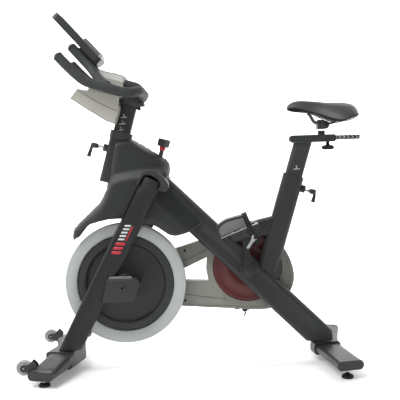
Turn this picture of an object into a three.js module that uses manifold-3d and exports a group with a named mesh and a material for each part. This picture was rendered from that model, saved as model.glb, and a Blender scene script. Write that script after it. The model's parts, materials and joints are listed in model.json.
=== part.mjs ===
import * as THREE from 'three';
import { mergeVertices } from 'three/addons/utils/BufferGeometryUtils.js';
import Module from 'manifold-3d';

// Indoor spin bike. Millimetres, +Z up, front of the bike towards -X, rider's left towards -Y.

const wasm = await Module();
wasm.setup();

// ---------------------------------------------------------------- driving dimensions
const CENTRE_X = 18.25;
const GAP = 0.3;

const BEAM = { width: 50, depth: 92, radius: 20, wall: 2.5 };
const BEAM_TOP = [-205, 749.7];
const BEAM_END = [520, 28.4];
const BEAM_CUT_Z = 71;
const BEAM_CUT_X = 506;

const POST = { width: 40, depth: 62, radius: 14, wall: 2.5 };
const SLEEVE = { width: 52, depth: 74, radius: 19 };
const LEAN_FRONT = THREE.MathUtils.degToRad(74);
const LEAN_SEAT = THREE.MathUtils.degToRad(73);
const HEAD_TOP = [-222, 840];
const HEAD_LENGTH = 186;
const SEAT_TOP = [384, 668];
const SEAT_LENGTH = 350;
const HEAD_INSERT = 112;
const SEAT_INSERT = 190;

const LEG = { width: 44, depth: 74, radius: 14, wall: 2.5 };
const LEG_Y = 90;
const LEG_TOP = [-113, 672.5];
const LEG_END = [-438, 54.6];
const LEG_CUT_Z = 83;

const STAB = { width: 90, height: 30, half: 252, wall: 2.2 };
const FRONT_STAB = { x: -415, z: 39, sweep: -76 };
const REAR_STAB = { x: 463, z: 47, sweep: 61 };
const COVER_WIDTH = 98;
const FRONT_COVER = { half: 117, z: 51, height: 60 };
const REAR_COVER = { half: 38, z: 47, height: 44 };
const FOOT = { radius: 19, y: 236 };
const WHEEL = { x: -556, z: 60, radius: 26.5, width: 18, y: 218 };

const FLYWHEEL = { x: -229, z: 300, radius: 217, rim: 174, half: 18 };
const AXLE_RADIUS = 10;
const BRACKET_OUT = 117;
const BRACKET_IN = 46;

const BB = { x: 211, z: 338, radius: 30, half: 40 };
const CRANK = { length: 150, armY: 76, armThick: 16, tilt: 0.073 };
const PEDAL = { y: 150, half: 45 };
const DISC_RADIUS = 126;
const COVER_Y0 = 31;
const COVER_SPLIT = 48;
const COVER_Y1 = 66;
const BELT_Y = 48;
const BELT_WIDTH = 14;
const BIG_PULLEY = 104;
const SMALL_PULLEY = 34;

const BAR_RADIUS = 17;
const LOOP_Y = 140;
const AERO_Y = 50;
const ARM_Y = 50;

const HOLDER = { length: 225, width: 124, thick: 25, base: 5, lip: 5 };
const HOLDER_MID = [-362, 1168.5];
const HOLDER_SLOPE = THREE.MathUtils.degToRad(48.8);

const KNOB = [-75, 796];
const ROD_RADIUS = 5;

// ---------------------------------------------------------------- materials
function finish(color, roughness, metalness) {
  return new THREE.MeshStandardMaterial({ color, roughness, metalness });
}
const COAT = finish(0x343837, 0.5, 0.2);
const PLASTIC = finish(0x3a3e3d, 0.6, 0.0);
const RUBBER = finish(0x1a1b1b, 0.8, 0.0);
const STEEL = finish(0xc4c6c6, 0.3, 0.9);
const RING = finish(0xb0b4b2, 0.4, 0.6);
const DARK_METAL = finish(0x2f3231, 0.45, 0.6);
const COVER_GREY = finish(0x8c8a84, 0.55, 0.0);
const DISC_RED = finish(0x643232, 0.5, 0.0);
const TRAY_GREY = finish(0xa5a59e, 0.5, 0.0);
const VINYL = finish(0x232524, 0.5, 0.0);
const WHEEL_GREY = finish(0xb8bab8, 0.55, 0.0);
const RED = finish(0xbe1e30, 0.45, 0.0);

// ---------------------------------------------------------------- geometry helpers
const Y_AXIS = new THREE.Vector3(0, 1, 0);
const Z_AXIS = new THREE.Vector3(0, 0, 1);

function vec(p) {
  return new THREE.Vector3(...p);
}

function solidOf(geometry) {
  const bare = geometry.clone();
  bare.deleteAttribute('normal');
  bare.deleteAttribute('uv');
  const merged = mergeVertices(bare, 1e-4);
  const mesh = new wasm.Mesh({
    numProp: 3,
    vertProperties: new Float32Array(merged.attributes.position.array),
    triVerts: new Uint32Array(merged.index.array),
  });
  return new wasm.Manifold(mesh);
}

function geometryOf(solid) {
  const mesh = solid.getMesh();
  const geometry = new THREE.BufferGeometry();
  geometry.setAttribute('position', new THREE.BufferAttribute(mesh.vertProperties, 3));
  geometry.setIndex(new THREE.BufferAttribute(mesh.triVerts, 1));
  geometry.computeVertexNormals();
  return geometry;
}

function join(...parts) {
  return parts.reduce((sum, next) => sum.add(next));
}

function cut(body, ...tools) {
  return tools.reduce((rest, tool) => rest.subtract(tool), body);
}

function roundRect(width, depth, radius) {
  const x = width / 2;
  const y = depth / 2;
  const r = Math.min(radius, x - 0.01, y - 0.01);
  const shape = new THREE.Shape();
  shape.moveTo(x, -y + r);
  shape.lineTo(x, y - r);
  shape.absarc(x - r, y - r, r, 0, Math.PI / 2, false);
  shape.lineTo(-x + r, y);
  shape.absarc(-x + r, y - r, r, Math.PI / 2, Math.PI, false);
  shape.lineTo(-x, -y + r);
  shape.absarc(-x + r, -y + r, r, Math.PI, 1.5 * Math.PI, false);
  shape.lineTo(x - r, -y);
  shape.absarc(x - r, -y + r, r, 1.5 * Math.PI, 2 * Math.PI, false);
  return shape;
}

function disc(radius) {
  const shape = new THREE.Shape();
  shape.absarc(0, 0, radius, 0, 2 * Math.PI, false);
  return shape;
}

function hollow(shape, hole) {
  shape.holes.push(hole);
  return shape;
}

function tubeSection(spec) {
  const t = 2 * spec.wall;
  const inner = roundRect(spec.width - t, spec.depth - t, spec.radius - spec.wall);
  return hollow(roundRect(spec.width, spec.depth, spec.radius), inner);
}

// Straight bar with the section's first axis laid along `hint`.
function bar(shape, a, b, hint = Y_AXIS, segments = 3) {
  const from = vec(a);
  const w = vec(b).sub(from);
  const length = w.length();
  w.normalize();
  const u = hint.clone().addScaledVector(w, -hint.dot(w)).normalize();
  const v = w.clone().cross(u);
  const options = { depth: length, bevelEnabled: false, curveSegments: segments };
  const geometry = new THREE.ExtrudeGeometry(shape, options);
  geometry.applyMatrix4(new THREE.Matrix4().makeBasis(u, v, w).setPosition(from));
  return solidOf(geometry);
}

function rod(radius, a, b, segments = 7) {
  const w = vec(b).sub(vec(a)).normalize();
  const hint = Math.abs(w.y) > 0.9 ? Z_AXIS : Y_AXIS;
  return bar(disc(radius), a, b, hint, segments);
}

// Side profile given as [x, z] points, filled between two Y values.
function plate(points, y0, y1, segments = 4) {
  const shape = Array.isArray(points) ? polygon(points) : points;
  const options = { depth: y1 - y0, bevelEnabled: false, curveSegments: segments };
  const geometry = new THREE.ExtrudeGeometry(shape, options);
  geometry.rotateX(Math.PI / 2);
  geometry.translate(0, y1, 0);
  return solidOf(geometry);
}

function polygon(points) {
  return new THREE.Shape(points.map(([x, z]) => new THREE.Vector2(x, z)));
}

// Closed outline through the points, rounded by a spline.
function smoothPolygon(points, divisions) {
  const curve = new THREE.SplineCurve(points.map(([x, z]) => new THREE.Vector2(x, z)));
  return new THREE.Shape(curve.getPoints(divisions));
}

function box(x0, x1, y0, y1, z0, z1) {
  return plate([[x0, z0], [x1, z0], [x1, z1], [x0, z1]], y0, y1);
}

function sweep(points, radius, steps, around = 6) {
  const path = new THREE.CatmullRomCurve3(points.map(vec), false, 'centripetal');
  const options = { steps, extrudePath: path, bevelEnabled: false, curveSegments: around };
  return solidOf(new THREE.ExtrudeGeometry(disc(radius), options));
}

// Turned piece: [radius, y] profile round an axis parallel to Y at (x, z).
function turnedY(profile, x, z, segments = 28) {
  const points = profile.map(([r, y]) => new THREE.Vector2(r, y));
  const geometry = new THREE.LatheGeometry(points, segments);
  geometry.translate(x, 0, z);
  return solidOf(geometry);
}

function turnedZ(profile, x, y, segments = 20) {
  const points = profile.map(([r, z]) => new THREE.Vector2(r, z));
  const geometry = new THREE.LatheGeometry(points, segments);
  geometry.rotateX(Math.PI / 2);
  geometry.translate(x, y, 0);
  return solidOf(geometry);
}

function mirrored(solid) {
  return solid.mirror([0, 1, 0]);
}

// Point on an inclined axis in the mid-plane.
function along(origin, lean, distance, y = 0) {
  return [origin[0] + Math.cos(lean) * distance, y, origin[1] + Math.sin(lean) * distance];
}

const meshes = new Map();

function addTo(parent, name, solid, material) {
  const mesh = new THREE.Mesh(geometryOf(solid), material);
  mesh.name = name;
  parent.add(mesh);
  meshes.set(name, mesh);
  return solid;
}

function group(parent, name) {
  const g = new THREE.Group();
  g.name = name;
  parent.add(g);
  return g;
}

const bike = new THREE.Group();
bike.name = 'spin_bike';
bike.position.x = -CENTRE_X;
const frame = group(bike, 'frame_group');

// ---------------------------------------------------------------- frame tubes
function beamBar(grow) {
  const shape = roundRect(BEAM.width + 2 * grow, BEAM.depth + 2 * grow, BEAM.radius + grow);
  return bar(shape, [BEAM_TOP[0], 0, BEAM_TOP[1]], [BEAM_END[0], 0, BEAM_END[1]]);
}

function sleeveBar(top, lean, length, grow, extra = 0) {
  const shape = roundRect(SLEEVE.width + 2 * grow, SLEEVE.depth + 2 * grow, SLEEVE.radius + grow);
  return bar(shape, along(top, lean, extra), along(top, lean, -length - extra));
}

function postHole(top, lean, length, clearance) {
  const shape = roundRect(
    POST.width + 2 * clearance,
    POST.depth + 2 * clearance,
    POST.radius + clearance,
  );
  return bar(shape, along(top, lean, 60), along(top, lean, -length - 40));
}

function legBar(side, grow) {
  const shape = roundRect(LEG.width + 2 * grow, LEG.depth + 2 * grow, LEG.radius + grow);
  const y = side * LEG_Y;
  const start = [LEG_TOP[0] + 0.47 * grow, y, LEG_TOP[1] + 0.89 * grow];
  return bar(shape, start, [LEG_END[0] + 0.47 * grow, y, LEG_END[1] + 0.89 * grow]);
}

const rodPassage = rod(12, along(KNOB, LEAN_FRONT, 10), along(KNOB, LEAN_FRONT, -300));
const crownTube = [[-136, -LEG_Y + 22 + GAP, 640], [-136, LEG_Y - 22 - GAP, 640]];
const crownClear = bar(disc(24 + GAP), [-136, -80, 640], [-136, 80, 640], Z_AXIS, 10);
const bbPassage = turnedY(
  [[0, -60], [BB.radius + GAP, -60], [BB.radius + GAP, 60], [0, 60]],
  BB.x,
  BB.z,
  20,
);
const headOuter = sleeveBar(HEAD_TOP, LEAN_FRONT, HEAD_LENGTH, GAP, 20);
const beamOuter = beamBar(GAP);

const beam = cut(
  bar(tubeSection(BEAM), [BEAM_TOP[0], 0, BEAM_TOP[1]], [BEAM_END[0], 0, BEAM_END[1]]),
  headOuter,
  bbPassage,
  rodPassage,
  crownClear,
  box(300, 700, -60, 60, -60, BEAM_CUT_Z),
  box(BEAM_CUT_X, 700, -60, 60, -60, 300),
);
addTo(frame, 'main_beam', beam.decompose().sort((a, b) => b.volume() - a.volume())[0], COAT);

const leverBossFront = bar(
  hollow(disc(13.5), disc(6.3)),
  [-262, 0, 780.5],
  [-290, 0, 788.6],
  Y_AXIS,
  8,
);
const headTube = cut(
  join(
    sleeveBar(HEAD_TOP, LEAN_FRONT, HEAD_LENGTH, 0),
    sleeveBar(HEAD_TOP, LEAN_FRONT, 26, 3),
    leverBossFront,
  ),
  postHole(HEAD_TOP, LEAN_FRONT, HEAD_LENGTH, GAP),
);
addTo(frame, 'head_tube', headTube, COAT);

const seatBody = cut(sleeveBar(SEAT_TOP, LEAN_SEAT, SEAT_LENGTH, 0), beamOuter);
const leverBossRear = bar(
  hollow(disc(13.5), disc(6.3)),
  [392, 0, 624.4],
  [423, 0, 614.9],
  Y_AXIS,
  8,
);
const seatTube = cut(
  join(seatBody, leverBossRear),
  postHole(SEAT_TOP, LEAN_SEAT, SEAT_LENGTH, GAP),
);
const seatPieces = seatTube.decompose().sort((a, b) => b.volume() - a.volume());
addTo(frame, 'seat_tube', seatPieces[0], COAT);

const braceSection = { width: 40, depth: 66, radius: 16, wall: 2.5 };
const brace = cut(
  bar(tubeSection(braceSection), [104, 0, 449], [330, 0, 496]),
  beamOuter,
  sleeveBar(SEAT_TOP, LEAN_SEAT, SEAT_LENGTH, GAP, 20),
);
const braceAbove = plate([[80, 420], [330, 420], [330, 560], [80, 560]], -40, 40);
const bracePieces = brace.intersect(braceAbove).decompose();
addTo(frame, 'frame_brace', bracePieces.sort((a, b) => b.volume() - a.volume())[0], COAT);

const crown = bar(hollow(disc(24), disc(21)), ...crownTube, Z_AXIS, 10);
addTo(frame, 'fork_crown', cut(crown, rodPassage), COAT);

const legTrim = box(-600, -300, -140, 140, -60, LEG_CUT_Z);
const axleHole = rod(AXLE_RADIUS + GAP, [FLYWHEEL.x, -150, FLYWHEEL.z], [FLYWHEEL.x, 150, FLYWHEEL.z]);
const bracketProfile = [
  [-345, 250], [-193, 250], [-172, 291], [-164, 312], [-190, 334], [-300, 334],
];
for (const [side, name] of [[-1, 'left'], [1, 'right']]) {
  const y = side * LEG_Y;
  const legTube = bar(tubeSection(LEG), [LEG_TOP[0], y, LEG_TOP[1]], [LEG_END[0], y, LEG_END[1]]);
  const topPlug = legBar(side, -0.5).intersect(
    plate([[-160, 668], [-60, 615], [-60, 720], [-160, 720]], y - 40, y + 40),
  );
  const leg = cut(join(legTube, topPlug), legTrim);
  addTo(frame, `fork_leg_${name}`, leg, COAT);
  const yIn = side * (side > 0 ? COVER_Y1 + 1.5 : BRACKET_IN);
  const yOut = side * BRACKET_OUT;
  const slab = plate(bracketProfile, Math.min(yIn, yOut), Math.max(yIn, yOut));
  addTo(frame, `axle_bracket_${name}`, cut(slab, legBar(side, GAP), axleHole)
    .decompose().sort((a, b) => b.volume() - a.volume())[0], COAT);
}

// ---------------------------------------------------------------- stabilisers
function vTube(stab, half, shape, z = stab.z) {
  const overshoot = 1.15;
  const near = bar(
    shape,
    [stab.x + stab.sweep * 0.15, STAB.half * 0.15, z],
    [stab.x + stab.sweep * overshoot, -STAB.half * overshoot, z],
    new THREE.Vector3(1, 0, 0),
  );
  const d = new THREE.Vector2(stab.sweep, -STAB.half).normalize();
  const endX = stab.x + (stab.sweep * half) / STAB.half;
  const n = [d.x, d.y];
  const t = [-d.y, d.x];
  const corner = (a, b) => [endX + n[0] * a + t[0] * b, -half + n[1] * a + t[1] * b];
  const past = [corner(0, -300), corner(0, 300), corner(300, 300), corner(300, -300)];
  const endCut = slabXY(past, 0, 100);
  const mid = cut(near, slabXY([[-900, 0], [900, 0], [900, 300], [-900, 300]], 0, 100), endCut);
  return join(mid, mirrored(mid));
}

function slabXY(points, z0, z1) {
  const options = { depth: z1 - z0, bevelEnabled: false };
  const geometry = new THREE.ExtrudeGeometry(polygon(points), options);
  geometry.translate(0, 0, z0);
  return solidOf(geometry);
}

function stabSection(grow) {
  return roundRect(STAB.width + 2 * grow, STAB.height + 2 * grow, STAB.height / 2 - 1 + grow);
}

function stabTube(stab) {
  const outer = vTube(stab, STAB.half, stabSection(0));
  const inner = vTube(stab, STAB.half + 20, stabSection(-STAB.wall));
  return cut(outer, inner);
}

function stabCover(stab, cover) {
  const outer = vTube(stab, cover.half, roundRect(COVER_WIDTH, cover.height, 13), cover.z);
  const inner = vTube(stab, cover.half + 20, stabSection(GAP));
  return cut(outer, inner);
}

function endCap(stab) {
  const outer = vTube(stab, STAB.half + 9, stabSection(1));
  const keep = vTube(stab, STAB.half + GAP, stabSection(6));
  return cut(outer, keep).decompose();
}

function wheelBracket() {
  const yMid = WHEEL.y;
  const tubeX = FRONT_STAB.x + (FRONT_STAB.sweep * yMid) / STAB.half;
  const cheek = [
    [WHEEL.x - 9, WHEEL.z - 9], [WHEEL.x + 2, WHEEL.z - 11], [tubeX - 38, 34],
    [tubeX - 38, 49], [WHEEL.x + 6, WHEEL.z + 11], [WHEEL.x - 7, WHEEL.z + 9],
  ];
  const near = yMid - WHEEL.width / 2 - 2;
  const far = yMid + WHEEL.width / 2 + 2;
  return join(
    plate(cheek, near - 3, near),
    plate(cheek, far, far + 3),
    rod(4, [WHEEL.x, near - 4, WHEEL.z], [WHEEL.x, far + 4, WHEEL.z], 6),
  );
}

const frontTube = stabTube(FRONT_STAB);
const innerFront = vTube(FRONT_STAB, STAB.half + 20, stabSection(-STAB.wall));
const carriers = cut(join(wheelBracket(), mirrored(wheelBracket())), innerFront);
addTo(frame, 'front_stabilizer', join(frontTube, carriers), COAT);
addTo(frame, 'rear_stabilizer', stabTube(REAR_STAB), COAT);
addTo(frame, 'front_stabilizer_cover', stabCover(FRONT_STAB, FRONT_COVER), PLASTIC);
addTo(frame, 'rear_stabilizer_cover', stabCover(REAR_STAB, REAR_COVER), PLASTIC);
for (const [end, stab] of [['front', FRONT_STAB], ['rear', REAR_STAB]]) {
  const underside = stab.z - STAB.height / 2 - GAP;
  const caps = endCap(stab).sort((a, b) => a.boundingBox().min[1] - b.boundingBox().min[1]);
  addTo(frame, `${end}_end_cap_left`, caps[0], PLASTIC);
  addTo(frame, `${end}_end_cap_right`, caps[1], PLASTIC);
  for (const [side, name] of [[-1, 'left'], [1, 'right']]) {
    const x = stab.x + (stab.sweep * FOOT.y) / STAB.half;
    const profile = [
      [0, 0], [FOOT.radius, 0], [FOOT.radius + 1, 5], [FOOT.radius - 3, 10], [7, 12],
      [7, underside - 9], [11, underside - 9], [11, underside - 4], [6, underside], [0, underside],
    ];
    const foot = group(frame, `${end}_foot_${name}_group`);
    addTo(foot, `${end}_foot_${name}`, turnedZ(profile, x, side * FOOT.y, 16), RUBBER);
  }
}
for (const [side, name] of [[-1, 'left'], [1, 'right']]) {
  const y = side * WHEEL.y;
  const w = WHEEL.width / 2;
  const r = WHEEL.radius;
  const profile = [
    [4.4, y - w], [r - 9, y - w], [r - 8, y - w + 2], [r - 5, y - w + 2], [r - 4, y - w],
    [r - 2, y - w], [r, y - w + 2], [r, y + w - 2], [r - 2, y + w], [4.4, y + w],
    [4.4, y - w],
  ];
  addTo(bike, `transport_wheel_${name}`, turnedY(profile, WHEEL.x, WHEEL.z, 20), WHEEL_GREY);
}

// ---------------------------------------------------------------- flywheel and axle
addTo(frame, 'flywheel_axle', rod(
  AXLE_RADIUS,
  [FLYWHEEL.x, -BRACKET_OUT - 5, FLYWHEEL.z],
  [FLYWHEEL.x, BRACKET_OUT + 5, FLYWHEEL.z],
), STEEL);
const flywheel = group(bike, 'flywheel_group');
const rimHalf = FLYWHEEL.half;
addTo(flywheel, 'flywheel_rim', turnedY([
  [FLYWHEEL.rim, -rimHalf + 3], [FLYWHEEL.rim + 3, -rimHalf], [FLYWHEEL.radius - 2, -rimHalf],
  [FLYWHEEL.radius, -rimHalf + 2], [FLYWHEEL.radius, rimHalf - 2], [FLYWHEEL.radius - 2, rimHalf],
  [FLYWHEEL.rim + 3, rimHalf], [FLYWHEEL.rim, rimHalf - 3], [FLYWHEEL.rim, -rimHalf + 3],
], FLYWHEEL.x, FLYWHEEL.z, 56), RING);
const webOut = FLYWHEEL.rim - GAP;
const bore = AXLE_RADIUS + GAP;
addTo(flywheel, 'flywheel_disc', turnedY([
  [bore, -42], [28, -42], [28, -7], [139, -5], [144, -12], [webOut, -12],
  [webOut, 12], [144, 12], [139, 5], [28, 7], [28, BELT_Y - BELT_WIDTH / 2],
  [SMALL_PULLEY, BELT_Y - BELT_WIDTH / 2], [SMALL_PULLEY, BELT_Y + BELT_WIDTH / 2],
  [bore, BELT_Y + BELT_WIDTH / 2], [bore, -42],
], FLYWHEEL.x, FLYWHEEL.z, 36), DARK_METAL);

// ---------------------------------------------------------------- crank, pedals and belt
addTo(frame, 'bottom_bracket', turnedY([
  [11, -BB.half], [BB.radius - 2, -BB.half], [BB.radius, -BB.half + 2], [BB.radius, COVER_Y0 - 1],
  [11, COVER_Y0 - 1], [11, -BB.half],
], BB.x, BB.z, 20), DARK_METAL);
const crank = group(bike, 'crank_group');
const armIn = CRANK.armY - CRANK.armThick / 2;
addTo(crank, 'crank_axle', turnedY([
  [0, -armIn + 0.5], [10, -armIn + 0.5], [10, armIn - 0.5], [0, armIn - 0.5],
], BB.x, BB.z, 24), STEEL);
addTo(crank, 'crank_pulley', turnedY([
  [10.3, BELT_Y - 9], [24, BELT_Y - 9], [24, BELT_Y - 4], [BIG_PULLEY - 12, BELT_Y - 4],
  [BIG_PULLEY - 9, BELT_Y - 8], [BIG_PULLEY, BELT_Y - 8], [BIG_PULLEY, BELT_Y + 8],
  [BIG_PULLEY - 9, BELT_Y + 8], [BIG_PULLEY - 12, BELT_Y + 4],
  [24, BELT_Y + 4], [24, BELT_Y + 9], [10.3, BELT_Y + 9], [10.3, BELT_Y - 9],
], BB.x, BB.z, 28), DARK_METAL);

// Outline of a belt or strap round two circles, as [x, z] points.
function loopOutline(x1, z1, r1, x2, z2, r2, count = 20) {
  const heading = Math.atan2(z2 - z1, x2 - x1);
  const lean = Math.acos((r1 - r2) / Math.hypot(x2 - x1, z2 - z1));
  const points = [];
  for (let i = 0; i <= count; i += 1) {
    const a = heading + lean + ((2 * Math.PI - 2 * lean) * i) / count;
    points.push([x1 + r1 * Math.cos(a), z1 + r1 * Math.sin(a)]);
  }
  for (let i = 0; i <= count; i += 1) {
    const a = heading - lean + (2 * lean * i) / count;
    points.push([x2 + r2 * Math.cos(a), z2 + r2 * Math.sin(a)]);
  }
  return points;
}

function beltSolid(grow, y0, y1) {
  return plate(loopOutline(
    FLYWHEEL.x, FLYWHEEL.z, SMALL_PULLEY + grow, BB.x, BB.z, BIG_PULLEY + grow,
  ), y0, y1);
}
addTo(frame, 'drive_belt', cut(
  beltSolid(2.6, BELT_Y - 6, BELT_Y + 6),
  beltSolid(0.5, BELT_Y - 20, BELT_Y + 20),
), RUBBER);

function crankArm(side) {
  const s = Math.sin(CRANK.tilt);
  const c = Math.cos(CRANK.tilt);
  const at = (u, v) => [BB.x + side * (s * v - c * u), BB.z - side * (c * v + s * u)];
  const outline = [
    [-19, -12], [-12, -19], [12, -19], [19, -12], [19, 14], [12.5, 60], [12, CRANK.length - 4],
    [9, CRANK.length + 9], [0, CRANK.length + 14], [-9, CRANK.length + 9],
    [-12, CRANK.length - 4], [-12.5, 60], [-19, 14],
  ].map(([u, v]) => at(u, v));
  const y = side * CRANK.armY;
  const h = CRANK.armThick / 2;
  const body = plate(outline, y - h, y + h);
  const pedalX = at(0, CRANK.length);
  const hole = rod(7.3, [pedalX[0], y - 30, pedalX[1]], [pedalX[0], y + 30, pedalX[1]], 8);
  return { body: cut(body, hole), pedalX };
}

const armEnds = {};
for (const [side, name] of [[-1, 'left'], [1, 'right']]) {
  const { body, pedalX } = crankArm(side);
  armEnds[name] = pedalX;
  addTo(crank, `crank_arm_${name}`, body, DARK_METAL);
}

// Pedal parts are drawn nose towards -X and sole up, then turned about the spindle.
function turnAbout(solid, pivot, degrees) {
  return solid.rotate([0, degrees, 0]).translate([pivot[0], 0, pivot[1]]);
}

function pedalBody(side) {
  const y0 = PEDAL.y - PEDAL.half;
  const y1 = PEDAL.y + PEDAL.half;
  const outline = [
    [-46, -9], [-38, -13], [38, -13], [48, -8], [50, 8], [46, 16], [-44, 16], [-50, 8],
  ];
  const slots = [[-38, -15], [15, 38]].map(([x0, x1]) => box(x0, x1, y0 + 12, y1 - 12, -30, 30));
  const spindle = rod(7, [0, CRANK.armY - 8, 0], [0, y0 + 4, 0], 8);
  const body = join(cut(plate(outline, y0, y1), ...slots), spindle);
  return side > 0 ? body : mirrored(body);
}

function toeCage(side) {
  const outer = [
    [-50.5, 16.6], [-84, 17], [-91, 30], [-87, 46], [-74, 60], [-47, 67], [0, 66], [25, 64],
  ];
  const inner = [
    [25, 61.5], [0, 63.2], [-46, 64], [-72, 57.5], [-84, 45], [-88, 31], [-83, 20.6], [-42, 19.6],
    [-42, 16.6],
  ];
  const strip = plate([...outer, ...inner], PEDAL.y - 32, PEDAL.y + 32);
  const strapOut = roundRect(100, 84, 8);
  const strap = bar(
    hollow(strapOut, roundRect(95, 79, 5)),
    [9, PEDAL.y, 24.8],
    [27, PEDAL.y, 24.8],
    Y_AXIS,
    4,
  );
  const body = join(strip, strap);
  return side > 0 ? body : mirrored(body);
}

for (const [side, name, turn] of [[-1, 'left', -21], [1, 'right', 4]]) {
  const pivot = armEnds[name];
  const pedal = group(crank, `pedal_${name}_group`);
  const clearBody = turnAbout(pedalBody(side), pivot, turn);
  addTo(pedal, `pedal_${name}`, clearBody, DARK_METAL);
  addTo(pedal, `toe_cage_${name}`, turnAbout(toeCage(side), pivot, turn), PLASTIC);
}

// ---------------------------------------------------------------- belt cover
const coverOutline = smoothPolygon([
  [-229, 218], [-110, 208], [20, 197], [150, 187], [250, 180], [300, 187], [350, 222],
  [377, 272], [379, 320], [360, 380], [318, 440], [262, 480], [211, 491], [150, 474],
  [30, 436], [-100, 398], [-229, 360], [-272, 344], [-298, 300], [-288, 252], [-262, 228],
  [-229, 218],
], 46);
const coverInner = smoothPolygon([
  [-229, 221], [-110, 211], [20, 200], [150, 190], [250, 183], [298, 190], [347, 224],
  [374, 273], [376, 319], [357, 378], [316, 437], [261, 477], [211, 488], [151, 471],
  [30, 433], [-100, 395], [-229, 357], [-270, 341], [-295, 300], [-285, 254], [-260, 231],
  [-229, 221],
], 46);
const windowPoints = [[-112, 300], [-22, 338], [64, 377], [60, 336], [68, 291], [-12, 295]];
const windowRim = [[-124, 298], [-22, 342], [68, 383], [64, 336], [72, 287], [-12, 291]];
const nearCover = cut(
  plate(coverOutline, COVER_Y0, COVER_SPLIT),
  cut(plate(coverInner, COVER_Y0 + 2.5, COVER_SPLIT + 5), plate(windowRim, 0, 90)),
  plate(windowPoints, 0, 90),
  turnedY([[0, 0], [DISC_RADIUS + GAP, 0], [DISC_RADIUS + GAP, 60], [0, 60]], BB.x, BB.z, 48),
  rod(38, [FLYWHEEL.x, 20, FLYWHEEL.z], [FLYWHEEL.x, COVER_Y0 + 4, FLYWHEEL.z]),
);
addTo(frame, 'belt_cover_inner', nearCover, COVER_GREY);
const farCover = cut(
  plate(coverOutline, COVER_SPLIT + GAP, COVER_Y1),
  cut(plate(coverInner, COVER_SPLIT - 5, COVER_Y1 - 2.5), plate(windowRim, 0, 90)),
  plate(windowPoints, 0, 90),
  rod(13, [FLYWHEEL.x, 20, FLYWHEEL.z], [FLYWHEEL.x, 90, FLYWHEEL.z]),
  rod(14, [BB.x, 20, BB.z], [BB.x, 90, BB.z]),
);
addTo(frame, 'belt_cover_outer', farCover, COVER_GREY);
addTo(frame, 'belt_cover_disc', turnedY([
  [13, COVER_Y0 + 2], [DISC_RADIUS - 3, COVER_Y0 + 2], [DISC_RADIUS, COVER_Y0 + 3.5],
  [DISC_RADIUS, COVER_Y0 + 5], [13, COVER_Y0 + 5], [13, COVER_Y0 + 2],
], BB.x, BB.z, 40), DISC_RED);

// ---------------------------------------------------------------- shroud halves
const shroudOutline = [
  [-252, 800], [-232, 812], [-194, 817], [-128, 776], [-66, 735], [-56, 722], [-56, 700], [-60, 670],
  [-52, 638], [-35, 618], [-1, 584], [33, 549], [54, 524], [55, 513], [42, 500], [18, 485], [4, 480],
  [-20, 473], [-42, 468], [-66, 474], [-95, 495], [-115, 508], [-155, 516],
  [-195, 530], [-232, 536], [-275, 535], [-317, 526], [-346, 518], [-368, 502], [-384, 482],
  [-398, 464], [-411, 462], [-413, 480], [-408, 498], [-385, 522], [-347, 556], [-309, 591],
  [-290, 625], [-281, 652],
];
const shroudHollow = [
  [-249, 830], [-180, 812], [-128, 772], [-68, 732], [-59.5, 720], [-59.5, 699], [-63.5, 670],
  [-56, 637], [-38, 615], [-4, 581], [29.5, 546.5], [50, 522], [50.5, 515], [36, 490], [4, 440],
  [-42, 440], [-66, 470], [-95, 491], [-115, 504], [-155, 512],
  [-195, 526], [-232, 532], [-275, 531], [-317, 522], [-343, 515], [-364, 499], [-380, 478],
  [-394, 440], [-420, 440], [-408, 470], [-404, 496], [-383, 519], [-345, 553], [-306, 589],
  [-286, 626], [-300, 660],
];
const sleeveClear = sleeveBar(HEAD_TOP, LEAN_FRONT, HEAD_LENGTH + 60, 3.8, 30);
const knobHole = rod(11, along(KNOB, LEAN_FRONT, 0), along(KNOB, LEAN_FRONT, -80));
const hoodOutline = [
  [-167, 656], [-154, 683], [-147, 697], [-132, 705], [-115, 706], [-98, 699], [-83, 686], [-67, 671],
  [-59, 656], [-58, 641], [-66, 628], [-80, 629], [-100, 640],
];
for (const [side, name] of [[-1, 'left'], [1, 'right']]) {
  const shell = cut(plate(shroudOutline, GAP / 2, 58), plate(shroudHollow, -5, 55));
  const outer = cut(
    join(shell, plate(hoodOutline, 54, LEG_Y + 23)),
    legBar(1, GAP),
    sleeveClear,
    knobHole,
    beamBar(GAP),
    crownClear,
  );
  const half = outer.decompose().sort((a, b) => b.volume() - a.volume())[0];
  addTo(frame, `shroud_${name}`, side > 0 ? half : mirrored(half), PLASTIC);
}

// ---------------------------------------------------------------- brake
const rodStart = along(KNOB, LEAN_FRONT, -12);
const rodEnd = along(KNOB, LEAN_FRONT, -281);
const brake = group(bike, 'brake_group');
addTo(brake, 'brake_rod', join(
  rod(ROD_RADIUS, rodStart, rodEnd, 6),
  rod(8, along(KNOB, LEAN_FRONT, -24), along(KNOB, LEAN_FRONT, -48), 6),
), STEEL);
const padAngle = Math.atan2(rodEnd[2] - FLYWHEEL.z, rodEnd[0] - FLYWHEEL.x);
const padArc = [];
for (let i = -6; i <= 6; i += 1) {
  const a = padAngle + (i / 6) * 0.16;
  padArc.push([FLYWHEEL.x + 220.5 * Math.cos(a), FLYWHEEL.z + 220.5 * Math.sin(a)]);
}
for (const [r, a] of [[233, 0.15], [240, 0.05], [240, -0.05], [233, -0.15]]) {
  padArc.push([FLYWHEEL.x + r * Math.cos(padAngle + a), FLYWHEEL.z + r * Math.sin(padAngle + a)]);
}
addTo(brake, 'brake_pad', cut(plate(padArc, -19, 19), rod(ROD_RADIUS + GAP, rodStart, rodEnd, 6)), RUBBER);
const knob = group(brake, 'resistance_knob_group');
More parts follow.
